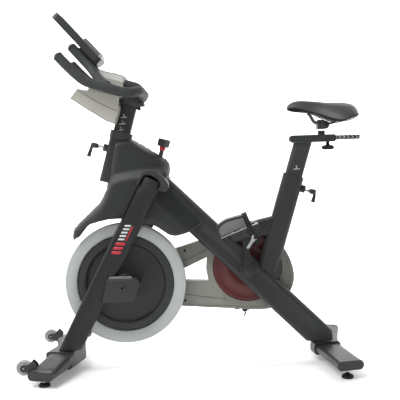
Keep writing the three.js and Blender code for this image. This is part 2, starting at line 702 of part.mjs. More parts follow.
addTo(knob, 'resistance_knob', join(
  bar(roundRect(38, 42, 10), along(KNOB, LEAN_FRONT, -11), along(KNOB, LEAN_FRONT, 20)),
  bar(roundRect(28, 30, 10), along(KNOB, LEAN_FRONT, -20), along(KNOB, LEAN_FRONT, -10)),
).subtract(rod(ROD_RADIUS + GAP, rodEnd, along(KNOB, LEAN_FRONT, -11.7), 6)), RUBBER);

// ---------------------------------------------------------------- locking levers
function lockLever(start, end, drop) {
  const s = vec(start);
  const e = vec(end);
  const w = e.clone().sub(s).normalize();
  const hubStart = e.clone().addScaledVector(w, -14);
  const tip = e.clone().add(vec(drop));
  const hubMid = e.clone().addScaledVector(w, -6);
  return join(
    rod(5, start, hubMid.toArray(), 6),
    rod(9, hubStart.toArray(), e.toArray(), 8),
    rod(4.2, hubMid.toArray(), tip.toArray(), 6),
    rod(6, hubMid.clone().lerp(tip, 0.55).toArray(), tip.toArray(), 6),
  );
}
const frontLever = group(bike, 'handlebar_lever_group');
addTo(frontLever, 'handlebar_lock_lever', lockLever([-277.4, 0, 785], [-326, 0, 798.9], [-18, 0, -46]), STEEL);

// ---------------------------------------------------------------- seat assembly
const seat = group(bike, 'seat_post_group');
const postTop = 118;
addTo(seat, 'seat_post', cut(
  bar(tubeSection(POST), along(SEAT_TOP, LEAN_SEAT, -SEAT_INSERT), along(SEAT_TOP, LEAN_SEAT, postTop + 30)),
  box(300, 560, -60, 60, 781.7, 900),
), COAT);
const seatLever = group(bike, 'seat_lever_group');
addTo(seatLever, 'seat_lock_lever', lockLever([411, 0, 618.5], [452, 0, 606], [-2, 0, -36]), STEEL);

const HOUSING = { x0: 373, x1: 534, z0: 782, z1: 808, half: 27 };
const SLIDE = { x0: 440, x1: 618, z0: 788.5, z1: 803.5, half: 20 };
const housingOutline = roundRect(HOUSING.x1 - HOUSING.x0, HOUSING.z1 - HOUSING.z0, 9);
const housing = plate(housingOutline, -HOUSING.half, HOUSING.half)
  .translate([(HOUSING.x0 + HOUSING.x1) / 2, 0, (HOUSING.z0 + HOUSING.z1) / 2]);
addTo(seat, 'seat_slide_housing', cut(
  housing,
  box(HOUSING.x0 - 9, HOUSING.x1 + 9, -SLIDE.half - 0.4, SLIDE.half + 0.4, SLIDE.z0 - 0.4, SLIDE.z1 + 0.4),
  box(HOUSING.x0 + 22, HOUSING.x1 + 9, -16, 16, 800, 830),
  rod(6.4, [508, 0, 770], [508, 0, 788.2], 8),
), COAT);
const slideKnob = group(seat, 'slide_knob_group');
addTo(slideKnob, 'seat_slide_knob', turnedZ([
  [0, 754], [14, 754], [21, 757], [22, 762], [21, 768], [9, 770], [6, 772], [6, 787.8], [0, 787.8],
], 508, 0), RUBBER);

const slider = group(seat, 'seat_slider_group');
addTo(slider, 'seat_slide_bar', cut(
  join(
    box(SLIDE.x0, SLIDE.x1, -SLIDE.half, SLIDE.half, SLIDE.z0, SLIDE.z1),
    rod(13, [486, 0, 800], [486, 0, 822.4], 8),
  ),
  box(SLIDE.x0 - 5, SLIDE.x1 + 5, -SLIDE.half + 2.5, SLIDE.half - 2.5, SLIDE.z0 + 2.5, SLIDE.z1 - 2.5),
), COAT);
const saddleGroup = group(slider, 'saddle_group');
const CLAMP = [488, 843.5];
const railPath = (side) => [
  [432, side * 14, 893], [447, side * 18, 876], [462, side * 22, 852], [474, side * 22, 846],
  [490, side * 22, 844.5], [508, side * 22, 844.5], [524, side * 22, 847], [538, side * 24, 857],
  [552, side * 27, 880],
];
const SADDLE_STATIONS = [
  [366, 8, 908, 903, 899], [371, 17, 919, 905, 894], [389, 24, 928, 905, 890],
  [414, 29, 931, 899, 887], [450, 36, 928, 887, 884], [484, 50, 924, 873, 881],
  [509, 68, 921, 861, 878], [540, 86, 920, 852, 876], [572, 92, 917, 856, 874],
  [594, 85, 910, 866, 874], [606, 66, 899, 874, 876], [610.6, 44, 887, 879, 878],
];

function saddleSolid(grow) {
  const across = 10;
  const rings = SADDLE_STATIONS.map(([x, w, top, side, under]) => {
    const ring = [];
    for (let i = 0; i <= across; i += 1) {
      const k = -1 + (2 * i) / across;
      ring.push([x, k * (w + grow), side + (top + grow - side) * (1 - Math.abs(k) ** 2.6)]);
    }
    for (let i = across - 1; i > 0; i -= 1) {
      const k = -1 + (2 * i) / across;
      const low = side - 5 - grow + (under - grow - side + 5) * (1 - Math.abs(k) ** 3);
      ring.push([x, k * (w + grow) * 0.985, Math.min(low, side - 0.5)]);
    }
    return ring;
  });
  const n = rings[0].length;
  const positions = rings.flat(2);
  const index = [];
  for (let r = 0; r + 1 < rings.length; r += 1) {
    for (let i = 0; i < n; i += 1) {
      const a = r * n + i;
      const b = r * n + ((i + 1) % n);
      index.push(a, a + n, b, b, a + n, b + n);
    }
  }
  for (const [r, flip] of [[0, false], [rings.length - 1, true]]) {
    const centre = positions.length / 3;
    const [x, , top, , under] = SADDLE_STATIONS[r];
    positions.push(x + (flip ? 1.5 : -2) , 0, (top + under) / 2);
    for (let i = 0; i < n; i += 1) {
      const a = r * n + i;
      const b = r * n + ((i + 1) % n);
      index.push(...(flip ? [a, centre, b] : [a, b, centre]));
    }
  }
  const geometry = new THREE.BufferGeometry();
  geometry.setAttribute('position', new THREE.Float32BufferAttribute(positions, 3));
  geometry.setIndex(index);
  return solidOf(geometry);
}

addTo(saddleGroup, 'saddle', saddleSolid(0), VINYL);
const railLeft = sweep(railPath(-1), 3.5, 18, 3);
const railBridge = rod(3.5, [490, -22, 844.5], [490, 22, 844.5], 3);
const rails = cut(join(railLeft, mirrored(railLeft), railBridge), saddleSolid(GAP));
addTo(saddleGroup, 'saddle_rails', rails, STEEL);
const clampOutline = [];
for (let i = 0; i < 20; i += 1) {
  const a = (i / 20) * 2 * Math.PI;
  clampOutline.push([CLAMP[0] + 20 * Math.cos(a), CLAMP[1] + 20 * Math.sin(a)]);
}
addTo(saddleGroup, 'saddle_clamp', cut(
  plate(clampOutline, -30, 30),
  join(
    sweep(railPath(-1), 3.5 + GAP, 18, 3),
    sweep(railPath(1), 3.5 + GAP, 18, 3),
    rod(3.5 + GAP, [490, -22, 844.5], [490, 22, 844.5], 3),
  ),
), DARK_METAL);

// ---------------------------------------------------------------- handlebar assembly
const bars = group(bike, 'handlebar_group');
const loopHalf = [
  [-413, LOOP_Y - 4, 1098], [-384, LOOP_Y - 2, 1066], [-352, LOOP_Y, 1034],
  [-326, LOOP_Y + 2, 1013], [-300, LOOP_Y + 3, 1002], [-270, LOOP_Y + 5, 993],
  [-237, LOOP_Y + 7, 982], [-205, LOOP_Y + 6, 972], [-174, LOOP_Y + 3, 968],
  [-153, LOOP_Y - 10, 972], [-140, LOOP_Y - 34, 977], [-139, 72, 972], [-141, 36, 960],
];
const loopPath = [
  ...loopHalf.map(([x, y, z]) => [x, -y, z]),
  [-144, 0, 951],
  ...loopHalf.slice().reverse(),
];
const loopTube = sweep(loopPath, BAR_RADIUS, 56, 5);
const loopClear = sweep(loopPath, BAR_RADIUS + GAP, 56, 5);
const armTube = sweep([
  [-206, ARM_Y, 1007], [-180, ARM_Y, 999], [-158, ARM_Y, 992], [-146, ARM_Y, 981], [-140, ARM_Y, 966],
], BAR_RADIUS - 1, 12, 4);
addTo(bars, 'handlebar_loop', join(loopTube, armTube, mirrored(armTube)), RUBBER);

const aeroHalf = [
  [-382, AERO_Y, 1140], [-346, AERO_Y + 2, 1098], [-324, AERO_Y + 8, 1073],
  [-310, AERO_Y + 16, 1056], [-296, AERO_Y + 32, 1037], [-281, AERO_Y + 50, 1019],
  [-263, AERO_Y + 70, 1002], [-241, AERO_Y + 88, 987],
];
const aeroTube = cut(sweep(aeroHalf, BAR_RADIUS - 1, 22, 4), loopClear)
  .decompose().sort((a, b) => b.volume() - a.volume())[0];
const bridge = plate(
  [[-336.8, 1089.5], [-310, 1059.7], [-307, 1062.4], [-333.8, 1092.2]],
  -AERO_Y - 8,
  AERO_Y + 8,
);
addTo(bars, 'aero_bars', join(aeroTube, mirrored(aeroTube), bridge), RUBBER);

const postBottom = along(HEAD_TOP, LEAN_FRONT, -HEAD_INSERT);
const postCap = along(HEAD_TOP, LEAN_FRONT, 132);
const barPost = join(
  bar(tubeSection(POST), postBottom, postCap),
  plate([[-228, 946], [-165, 926], [-138, 928], [-138, 978], [-150, 986], [-222, 974]], -24, 24),
);
addTo(bars, 'handlebar_post', cut(barPost, loopClear), COAT);

function postShadow(grow) {
  const shape = roundRect(POST.width + 2 * grow, POST.depth + 2 * grow, POST.radius);
  return bar(shape, along(HEAD_TOP, LEAN_FRONT, -40), along(HEAD_TOP, LEAN_FRONT, 200));
}
const binOuter = [[-357, 990], [-382, 957], [-258, 874], [-238, 867], [-223, 908], [-214, 960]];
const binInner = [[-354, 1004], [-378, 957.5], [-256, 877.5], [-240.5, 871.5], [-226, 909], [-205, 972]];
const binShell = cut(
  plate(binOuter, -104, 104),
  plate(binInner, -101, 101),
);
const lidOpening = join(
  box(-360, -292, -82.5, 82.5, 940, 1080),
  box(-293, -209, -28, 28, 940, 1080),
);
const ledge = plate([[-357, 990], [-357.6, 987], [-214.6, 957], [-214, 960]], -104, 104);
const upperWalls = plate([[-338, 985], [-290, 1060], [-203, 1034], [-214, 959]], -31, 31);
const trayBody = cut(
  join(
    binShell,
    cut(ledge, lidOpening),
    cut(upperWalls, box(-360, -209, -28, 28, 940, 1080)),
  ),
  postShadow(1.5),
  plate([[-232, 920], [-150, 900], [-100, 940], [-100, 1000], [-226, 1000]], -26, 26),
);
addTo(bars, 'accessory_tray', trayBody.decompose().sort((a, b) => b.volume() - a.volume())[0], TRAY_GREY);

// Tablet holder drawn flat with its long side on X, then tilted to the riding slope.
function tiltToRider(solid) {
  const degrees = THREE.MathUtils.radToDeg(HOLDER_SLOPE);
  return solid.rotate([0, degrees, 0]).translate([HOLDER_MID[0], 0, HOLDER_MID[1]]);
}
const hl = HOLDER.length / 2;
const hw = HOLDER.width / 2;
const ht = HOLDER.thick / 2;
const holderPocket = box(
  -hl + HOLDER.lip, hl - HOLDER.lip, -hw + HOLDER.lip, hw - HOLDER.lip, -ht + HOLDER.base, ht + 5,
);
const holderShape = roundRect(HOLDER.length, HOLDER.width, 16);
const holderSlab = solidOf(new THREE.ExtrudeGeometry(holderShape, {
  depth: HOLDER.thick, bevelEnabled: false, curveSegments: 5,
}).translate(0, 0, -ht));
const knuckle = rod(8, [96, -30, -ht - 7], [96, 30, -ht - 7], 6);
const holderArm = box(90, 102, -30, 30, -ht - 8, -ht + 1);
const tablet = group(bars, 'tablet_holder_group');
addTo(tablet, 'tablet_holder', tiltToRider(join(cut(holderSlab, holderPocket), knuckle, holderArm)), PLASTIC);
const consoleSlab = plate([[18, 0], [107, 0], [107, 32], [18, 32]], -44, 44)
  .translate([0, 0, -ht + HOLDER.base + GAP]);
addTo(tablet, 'console', tiltToRider(consoleSlab), RUBBER);

export default bike;
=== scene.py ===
import json
import math

import bmesh
import bpy
from mathutils import Matrix, Vector
from mathutils.geometry import delaunay_2d_cdt


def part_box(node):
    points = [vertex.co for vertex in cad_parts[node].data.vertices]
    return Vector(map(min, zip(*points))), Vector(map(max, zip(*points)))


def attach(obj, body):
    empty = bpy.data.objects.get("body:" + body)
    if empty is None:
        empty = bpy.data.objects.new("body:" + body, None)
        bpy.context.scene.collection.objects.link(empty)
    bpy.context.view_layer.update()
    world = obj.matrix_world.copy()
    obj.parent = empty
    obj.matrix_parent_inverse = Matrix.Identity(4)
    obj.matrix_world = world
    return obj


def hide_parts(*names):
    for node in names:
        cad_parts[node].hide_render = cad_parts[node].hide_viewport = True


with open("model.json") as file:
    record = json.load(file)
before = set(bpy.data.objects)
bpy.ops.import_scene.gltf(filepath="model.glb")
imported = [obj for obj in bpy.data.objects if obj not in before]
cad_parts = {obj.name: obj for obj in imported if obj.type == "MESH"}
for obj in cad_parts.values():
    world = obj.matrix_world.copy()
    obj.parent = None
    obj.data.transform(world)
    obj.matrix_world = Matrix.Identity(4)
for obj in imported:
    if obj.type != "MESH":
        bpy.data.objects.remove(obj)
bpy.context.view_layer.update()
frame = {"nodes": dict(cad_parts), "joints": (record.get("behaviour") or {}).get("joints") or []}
NODES = frame["nodes"]
JOINTS = {j["name"]: j for j in frame["joints"]}
SIDES = ((-1, "left"), (1, "right"))

# The side view is drawn in millimetres with its own X zero; this brings it to the row frame.
DRAWN_X = (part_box("seat_slide_bar")[1].x - 0.618) * 1000.0


def V(x, y, z):
    return Vector(((x + DRAWN_X) / 1000, y / 1000, z / 1000))


# ------------------------------------------------------------------ materials
SLOTS = {}  # the slot that each material fills unless a piece names another


def rgb(r, g, b):
    """An sRGB colour, each channel 11 to 255, as the linear value that shaders take."""
    return tuple(((c / 255 + 0.055) / 1.055) ** 2.4 for c in (r, g, b)) + (1,)


class Nodes:
    """A small wrapper that keeps node building short."""

    def __init__(self, name):
        self.mat = bpy.data.materials.new(name)
        self.mat.use_nodes = True
        self.tree = self.mat.node_tree
        self.bsdf = self.tree.nodes["Principled BSDF"]
        self.coord = self.tree.nodes.new("ShaderNodeTexCoord")

    def add(self, kind, **values):
        node = self.tree.nodes.new(kind)
        for key, value in values.items():
            if key in node.inputs:
                node.inputs[key].default_value = value
            else:
                setattr(node, key, value)
        return node

    def link(self, a, b):
        self.tree.links.new(a, b)

    def noise(self, scale, detail=4.0, rough=0.55):
        node = self.add("ShaderNodeTexNoise", Scale=scale, Detail=detail, Roughness=rough)
        self.link(self.coord.outputs["Object"], node.inputs["Vector"])
        return node.outputs["Fac"]

    def span(self, fac, low, high, a=0.3, b=0.7):
        node = self.add("ShaderNodeMapRange")
        node.inputs["From Min"].default_value = a
        node.inputs["From Max"].default_value = b
        node.inputs["To Min"].default_value = low
        node.inputs["To Max"].default_value = high
        self.link(fac, node.inputs["Value"])
        return node.outputs["Result"]

    def ramp(self, fac, stops):
        node = self.add("ShaderNodeValToRGB")
        elements = node.color_ramp.elements
        while len(elements) < len(stops):
            elements.new(0.5)
        for element, (at, color) in zip(elements, stops):
            element.position = at
            element.color = color
        self.link(fac, node.inputs["Fac"])
        return node.outputs["Color"]

    def mix(self, fac, a, b, blend="MIX"):
        node = self.add("ShaderNodeMix", data_type="RGBA", blend_type=blend)
        for value, index in ((fac, "Factor"), (a, 6), (b, 7)):
            if hasattr(value, "node"):
                self.link(value, node.inputs[index])
            else:
                node.inputs[index].default_value = value
        return node.outputs[2]

    def bump(self, height, strength, distance=0.0005, after=None):
        node = self.add("ShaderNodeBump", Strength=strength, Distance=distance)
        self.link(height, node.inputs["Height"])
        if after:
            self.link(after, node.inputs["Normal"])
        return node.outputs["Normal"]


def shade(color, k):
    return tuple(min(1.0, c * k) for c in color[:3]) + (1,)


def surface(name, color, rough, slot, grain, grain_bump, metallic=0.0, vary=0.12, cloud=9.0, wear=0.0,
            wear_color=None, coat=0.0, specular=0.5):
    """Painted, moulded or plated surface: clouded colour, uneven gloss, fine grain and worn edges."""
    n = Nodes(name)
    SLOTS[n.mat.name] = slot
    color = rgb(*color)
    cloud_fac = n.noise(cloud, 5, 0.6)
    base = n.ramp(cloud_fac, [(0.25, shade(color, 1 - vary)), (0.75, shade(color, 1 + vary))])
    fine = n.noise(grain, 3, 0.6)
    speckle = n.ramp(fine, [(0.35, (0.86, 0.86, 0.86, 1)), (0.68, (1.1, 1.1, 1.1, 1))])
    base = n.mix(1.0, base, speckle, "MULTIPLY")
    if wear > 0:
        geo = n.add("ShaderNodeNewGeometry")
        edge = n.span(geo.outputs["Pointiness"], 0.0, wear, 0.51, 0.56)
        base = n.mix(edge, base, rgb(*wear_color))
    n.link(base, n.bsdf.inputs["Base Color"])
    smear = n.noise(cloud * 3.1, 6, 0.65)
    n.link(n.span(smear, rough - 0.06, rough + 0.06), n.bsdf.inputs["Roughness"])
    n.bsdf.inputs["Metallic"].default_value = metallic
    n.bsdf.inputs["Specular IOR Level"].default_value = specular
    n.bsdf.inputs["Coat Weight"].default_value = coat
    n.bsdf.inputs["Coat Roughness"].default_value = 0.25
    n.link(n.bump(fine, grain_bump), n.bsdf.inputs["Normal"])
    return n.mat


COAT = surface("powder_coat", (38, 41, 40), 0.44, "frame_coat", 1400, 0.16, wear=0.5,
               wear_color=(74, 77, 75), vary=0.1, specular=0.4)
# darker copy of the powder coat for the beam, tubes, stabiliser and fork legs: its extra darkness is
# painted shade
SHADED_COAT = surface("powder_coat_shaded", (24, 26, 26), 0.44, "frame_coat", 1400, 0.16, wear=0.5,
                wear_color=(66, 69, 67), vary=0.1, specular=0.4)
PLASTIC = surface("moulded_plastic", (40, 43, 42), 0.46, "black_plastic", 1100, 0.22, wear=0.35,
                  wear_color=(76, 79, 77), vary=0.09, specular=0.4)
DARK = surface("dark_paint_and_shade", (29, 31, 31), 0.4, "dark_metal", 1500, 0.1, wear=0.4,
               wear_color=(76, 79, 77), specular=0.4)
BLACK = surface("black_gap", (11, 11, 11), 0.7, "black_plastic", 900, 0.1, specular=0.2)
RUBBER = surface("moulded_rubber", (30, 31, 31), 0.72, "black_rubber", 800, 0.3, specular=0.35)
FOAM = surface("grip_foam", (52, 55, 54), 0.62, "black_rubber", 520, 0.45, vary=0.14, cloud=22,
               specular=0.35)
STEEL = surface("bright_zinc", (186, 188, 188), 0.28, "bright_steel", 700, 0.06, metallic=0.95, vary=0.06)
COVER = surface("cover_plastic", (118, 117, 110), 0.5, None, 900, 0.2, vary=0.09, wear=0.4,
                wear_color=(158, 157, 150))
# darker copy of the cover plastic: its darker colour paints the shade along the cover's ribs and rims and
# the tray's seams
SHADED_COVER = surface("cover_plastic_shaded", (104, 102, 97), 0.55, "cover_grey", 900, 0.2, vary=0.06)
RED_DISC = surface("red_disc_plastic", (88, 24, 27), 0.42, "disc_red", 900, 0.12, vary=0.14)
TRAY = surface("tray_plastic", (171, 169, 160), 0.42, None, 800, 0.14, vary=0.05, wear=0.35,
               wear_color=(190, 190, 184))
CLEAR = surface("pale_plastic", (176, 177, 174), 0.3, "black_rubber", 700, 0.08, vary=0.06)
PALE = surface("frosted_plastic", (216, 217, 214), 0.35, "tray_grey", 700, 0.06, vary=0.04)
GREY = surface("mid_plastic", (112, 113, 111), 0.42, None, 800, 0.14, vary=0.08)
WHEEL = surface("wheel_plastic", (172, 173, 170), 0.5, "wheel_grey", 900, 0.12, vary=0.06)
RED = surface("red_plastic", (190, 32, 48), 0.38, None, 900, 0.08, vary=0.07)
WHITE = surface("white_print", (214, 215, 213), 0.55, "frame_coat", 1800, 0.05, vary=0.04)
SCREEN = surface("screen_glass", (24, 27, 29), 0.16, "black_rubber", 300, 0.01, vary=0.1, coat=0.6)
STRAP = surface("strap_webbing", (30, 32, 32), 0.75, "black_plastic", 1300, 0.5, specular=0.3)


def ring_metal():
    """Turned silver paint, with fine rings round the flywheel's axis."""
    n = Nodes("flywheel_silver")
    SLOTS[n.mat.name] = "flywheel_ring"
    color = rgb(183, 187, 185)
    cloud = n.noise(7, 4, 0.5)
    base = n.ramp(cloud, [(0.2, shade(color, 0.93)), (0.8, shade(color, 1.05))])
    fine = n.noise(1500, 3, 0.6)
    base = n.mix(
        1.0, base, n.ramp(fine, [(0.3, (0.92, 0.92, 0.92, 1)), (0.7, (1.05, 1.05, 1.05, 1))]), "MULTIPLY")
    n.link(base, n.bsdf.inputs["Base Color"])
    n.bsdf.inputs["Metallic"].default_value = 0.25
    n.link(n.span(n.noise(30, 6, 0.6), 0.36, 0.5), n.bsdf.inputs["Roughness"])
    split = n.add("ShaderNodeSeparateXYZ")
    n.link(n.coord.outputs["Object"], split.inputs["Vector"])
    hub = JOINTS["flywheel_spin"]["pos_m"]
    total = n.add("ShaderNodeMath", operation="ADD")
    for index, (axis, middle) in enumerate((("X", hub[0]), ("Z", hub[2]))):
        away = n.add("ShaderNodeMath", operation="SUBTRACT")
        away.inputs[1].default_value = middle
        n.link(split.outputs[axis], away.inputs[0])
        square = n.add("ShaderNodeMath", operation="MULTIPLY")
        n.link(away.outputs[0], square.inputs[0])
        n.link(away.outputs[0], square.inputs[1])
        n.link(square.outputs[0], total.inputs[index])
    root = n.add("ShaderNodeMath", operation="SQRT")
    n.link(total.outputs[0], root.inputs[0])
    lines = n.add("ShaderNodeTexNoise", noise_dimensions="1D", Scale=900.0, Detail=3.0)
    n.link(root.outputs[0], lines.inputs["W"])
    turned = n.bump(lines.outputs["Fac"], 0.12, 0.0003)
    n.link(n.bump(fine, 0.06, 0.0004, turned), n.bsdf.inputs["Normal"])
    return n.mat


RING = ring_metal()


def vinyl():
    n = Nodes("saddle_vinyl")
    SLOTS[n.mat.name] = "saddle_vinyl"
    color = rgb(50, 52, 52)
    cells = n.add("ShaderNodeTexVoronoi", Scale=650.0, feature="F1")
    n.link(n.coord.outputs["Object"], cells.inputs["Vector"])
    cloud = n.noise(12, 5, 0.6)
    base = n.ramp(cloud, [(0.25, shade(color, 0.85)), (0.75, shade(color, 1.2))])
    n.link(base, n.bsdf.inputs["Base Color"])
    n.link(n.span(n.noise(25, 6, 0.6), 0.36, 0.52), n.bsdf.inputs["Roughness"])
    n.bsdf.inputs["Sheen Weight"].default_value = 0.15
    leather = n.bump(cells.outputs["Distance"], 0.35, 0.0005)
    n.link(n.bump(n.noise(120, 5, 0.6), 0.1, 0.001, leather), n.bsdf.inputs["Normal"])
    return n.mat


VINYL = vinyl()


# ------------------------------------------------------------------ mesh helpers
def finish_mesh(name, verts, faces, mat, body, replaces=(), slot=None, bevel=0.0, subsurf=0, angle=35):
    mesh = bpy.data.meshes.new(name)
    mesh.from_pydata([tuple(v) for v in verts], [], faces)
    bm = bmesh.new()
    bm.from_mesh(mesh)
    bmesh.ops.remove_doubles(bm, verts=bm.verts, dist=1e-6)
    bmesh.ops.recalc_face_normals(bm, faces=bm.faces)
    bm.to_mesh(mesh)
    bm.free()
    mesh.materials.append(mat)
    obj = bpy.data.objects.new(name, mesh)
    bpy.context.scene.collection.objects.link(obj)
    style(obj, bevel, subsurf, angle)
    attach(obj, body)
    if replaces:
        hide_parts(*replaces)
    slot = slot or SLOTS[mat.name]
    return obj


def style(obj, bevel, subsurf, angle, segments=3):
    """Smooth shading, rounded edges where faces meet at more than the angle, and subdivision."""
    for face in obj.data.polygons:
        face.use_smooth = True
    if bevel:
        edge = obj.modifiers.new("edge", "BEVEL")
        edge.width = bevel
        edge.segments = segments
        edge.limit_method = "ANGLE"
        edge.angle_limit = math.radians(angle)
        edge.harden_normals = False
    if subsurf:
        soft = obj.modifiers.new("soft", "SUBSURF")
        soft.levels = subsurf
        soft.render_levels = subsurf
    if bevel:
        normals = obj.modifiers.new("normals", "WEIGHTED_NORMAL")
        normals.keep_sharp = True


def dress(node, mat, bevel):
    """A carried-over CAD node: merged corners, rounded edges and its own material."""
    obj = NODES[node]
    obj.data.materials.clear()
    obj.data.materials.append(mat)
    weld = obj.modifiers.new("weld", "WELD")
    weld.merge_threshold = 2e-5
    style(obj, bevel, 0, 40, 2)


def catmull(points, per):
    """A smooth curve through the points, with so many steps between each two."""
    pts = [Vector(p) for p in points]
    out = []
    for i in range(len(pts) - 1):
        p0 = pts[i - 1] if i else pts[0] * 2 - pts[1]
        p1, p2 = pts[i], pts[i + 1]
        p3 = pts[i + 2] if i + 2 < len(pts) else pts[-1] * 2 - pts[-2]
        for k in range(per):
            t = k / per
            out.append(0.5 * ((2 * p1) + (p2 - p0) * t + (2 * p0 - 5 * p1 + 4 * p2 - p3) * t * t
                              + (3 * p1 - p0 - 3 * p2 + p3) * t ** 3))
    out.append(pts[-1])
    return out


def circle(count):
    return [(math.cos(2 * math.pi * k / count), math.sin(2 * math.pi * k / count)) for k in range(count)]


def sweep_rings(path, radius_at, around):
    """Round rings along the path, carried on without twist."""
    rings = []
    last = len(path) - 1
    side = Vector((0, 1, 0))
    for i, p in enumerate(path):
        t = (path[min(i + 1, last)] - path[max(i - 1, 0)]).normalized()
        side = (side - t * side.dot(t)).normalized()
        other = t.cross(side)
        r = radius_at(i / last)
        rings.append([p + side * a * r + other * b * r for a, b in circle(around)])
    return rings


def loft(name, rings, mat, body, cap=True, **kw):
    """A skin over rings with the same number of points, closed at both ends if cap is set."""
    verts = [v for ring in rings for v in ring]
    n = len(rings[0])
    faces = []
    for r in range(len(rings) - 1):
        for k in range(n):
            a, b = r * n + k, r * n + (k + 1) % n
            faces.append((a, b, b + n, a + n))
    if cap:
        faces.append(tuple(range(n))[::-1])
        faces.append(tuple(range(len(verts) - n, len(verts))))
    return finish_mesh(name, verts, faces, mat, body, **kw)


def tube(name, points, radius, mat, body, per, around, round_ends=True, **kw):
    """A round bar along a smooth curve, with domed ends unless round_ends is off."""
    rings = sweep_rings(catmull(points, per), lambda t: radius, around)
    if round_ends:
        for end in (0, -1):
            centre = sum(rings[end], Vector()) / around
            nxt = sum(rings[1 if end == 0 else -2], Vector()) / around
            out = (centre - nxt).normalized()
            dome = [[centre + (v - centre) * math.cos(a) + out * radius * 0.75 * math.sin(a)
                     for v in rings[end]] for a in (0.4, 0.8, 1.15, 1.45)]
            # the dome ends where the solid did
            back = out * radius * 0.75
            rings[end] = [v - back for v in rings[end]]
            dome = [[v - back for v in ring] for ring in dome]
            rings = dome[::-1] + rings if end == 0 else rings + dome
    return loft(name, rings, mat, body, **kw)


def lathe(name, profile, centre, axis, mat, body, segments=64, **kw):
    """profile: (radius, height) in mm round `axis` through `centre`; closed if it returns."""
    profile = [(r / 1000, h / 1000) for r, h in profile]
    axis = Vector(axis).normalized()
    side = axis.orthogonal().normalized()
    other = axis.cross(side)
    closed = profile[0] == profile[-1]
    rows = profile[:-1] if closed else profile
    verts, index = [], []
    for r, h in rows:
        if r < 1e-7:
            verts.append(centre + axis * h)
            index.append([len(verts) - 1] * segments)
            continue
        index.append([])
        for a, b in circle(segments):
            verts.append(centre + axis * h + (side * a + other * b) * r)
            index[-1].append(len(verts) - 1)
    faces = []
    count = len(rows)
    for i in range(count if closed else count - 1):
        lo, hi = index[i], index[(i + 1) % count]
        for k in range(segments):
            j = (k + 1) % segments
            face = []
            for v in (lo[k], lo[j], hi[j], hi[k]):
                if v not in face:
                    face.append(v)
            if len(face) > 2:
                faces.append(tuple(face))
    return finish_mesh(name, verts, faces, mat, body, **kw)


def rounded(points, radius, steps=5):
    """Outline with its corners rounded."""
    out = []
    n = len(points)
    for i, p in enumerate(points):
        a, b, c = Vector(points[i - 1]), Vector(p), Vector(points[(i + 1) % n])
        u, v = a - b, c - b
        r = min(radius, u.length * 0.45, v.length * 0.45)
        s, e = b + u.normalized() * r, b + v.normalized() * r
        for k in range(steps + 1):
            t = k / steps
            out.append(tuple(s * (1 - t) ** 2 + b * 2 * t * (1 - t) + e * t * t))
    return out


def prism(name, outline, y0, y1, mat, body, put=V, **kw):
    """Side outline of (x, z) millimetres filled between two Y values."""
    n = len(outline)
    verts = [put(x, y0, z) for x, z in outline] + [put(x, y1, z) for x, z in outline]
    faces = [tuple(range(n)), tuple(range(n, 2 * n))[::-1]]
    faces += [(k, (k + 1) % n, n + (k + 1) % n, n + k) for k in range(n)]
    return finish_mesh(name, verts, faces, mat, body, **kw)


# ------------------------------------------------------------------ carried-over CAD nodes
CARRIED = (
    (SHADED_COAT, 0.0010, ("main_beam", "seat_tube", "frame_brace")),
    (COAT, 0.0010, ("head_tube", "seat_post", "handlebar_post")),
    (SHADED_COAT, 0.0014, ("fork_crown", "rear_stabilizer")),
    (COAT, 0.0014, ("front_stabilizer", "seat_slide_housing", "seat_slide_bar")),
    (PLASTIC, 0.0022, ("front_stabilizer_cover", "rear_stabilizer_cover", "front_end_cap_left",
                       "front_end_cap_right", "rear_end_cap_left", "rear_end_cap_right")),
    (DARK, 0.0055, ("tablet_holder",)),
    (TRAY, 0.0008, ("accessory_tray",)),
    (COVER, 0.0012, ("belt_cover_inner",)),
    (COVER, 0.0018, ("belt_cover_outer",)),
    (STEEL, 0.0004, ("flywheel_axle", "crank_axle", "handlebar_lock_lever", "seat_lock_lever")),
    (DARK, 0.0004, ("brake_rod", "saddle_rails")),
    (DARK, 0.0008, ("bottom_bracket", "crank_pulley")),
    (RUBBER, 0.0006, ("drive_belt", "brake_pad")))
for paint, bevel, nodes in CARRIED:
    for node in nodes:
        dress(node, paint, bevel)

# ------------------------------------------------------------------ raised roots of the front stabiliser
FRONT_STAB = {"x": -415, "sweep": -76, "half": 252, "low": 41, "wide": 45}
ROOT = {"from": 115, "to": 250.5, "top": 77.5, "fall": 23.2}
ROOT_EDGE = ((0, 13), (1.4, 7), (5, 2.6), (11, 0.4), (17, 0))  # in from the side, down from the top


def stabilizer_root(side, name):
    rings = []
    for y in (ROOT["from"], 150, 185, 220, ROOT["to"]):
        x = FRONT_STAB["x"] + FRONT_STAB["sweep"] * y / FRONT_STAB["half"]
        top = ROOT["top"] - ROOT["fall"] * (y - ROOT["from"]) / (ROOT["to"] - ROOT["from"])
        low, wide = FRONT_STAB["low"], FRONT_STAB["wide"]
        section = [(-wide, low)] + [(a - wide, top - b) for a, b in ROOT_EDGE]
        section += [(wide - a, top - b) for a, b in ROOT_EDGE[::-1]] + [(wide, low)]
        rings.append([V(x + a, side * y, z) for a, z in section])
    loft(f"front_stabilizer_root_{name}", rings, COAT, "frame")


for side, name in SIDES:
    stabilizer_root(side, name)

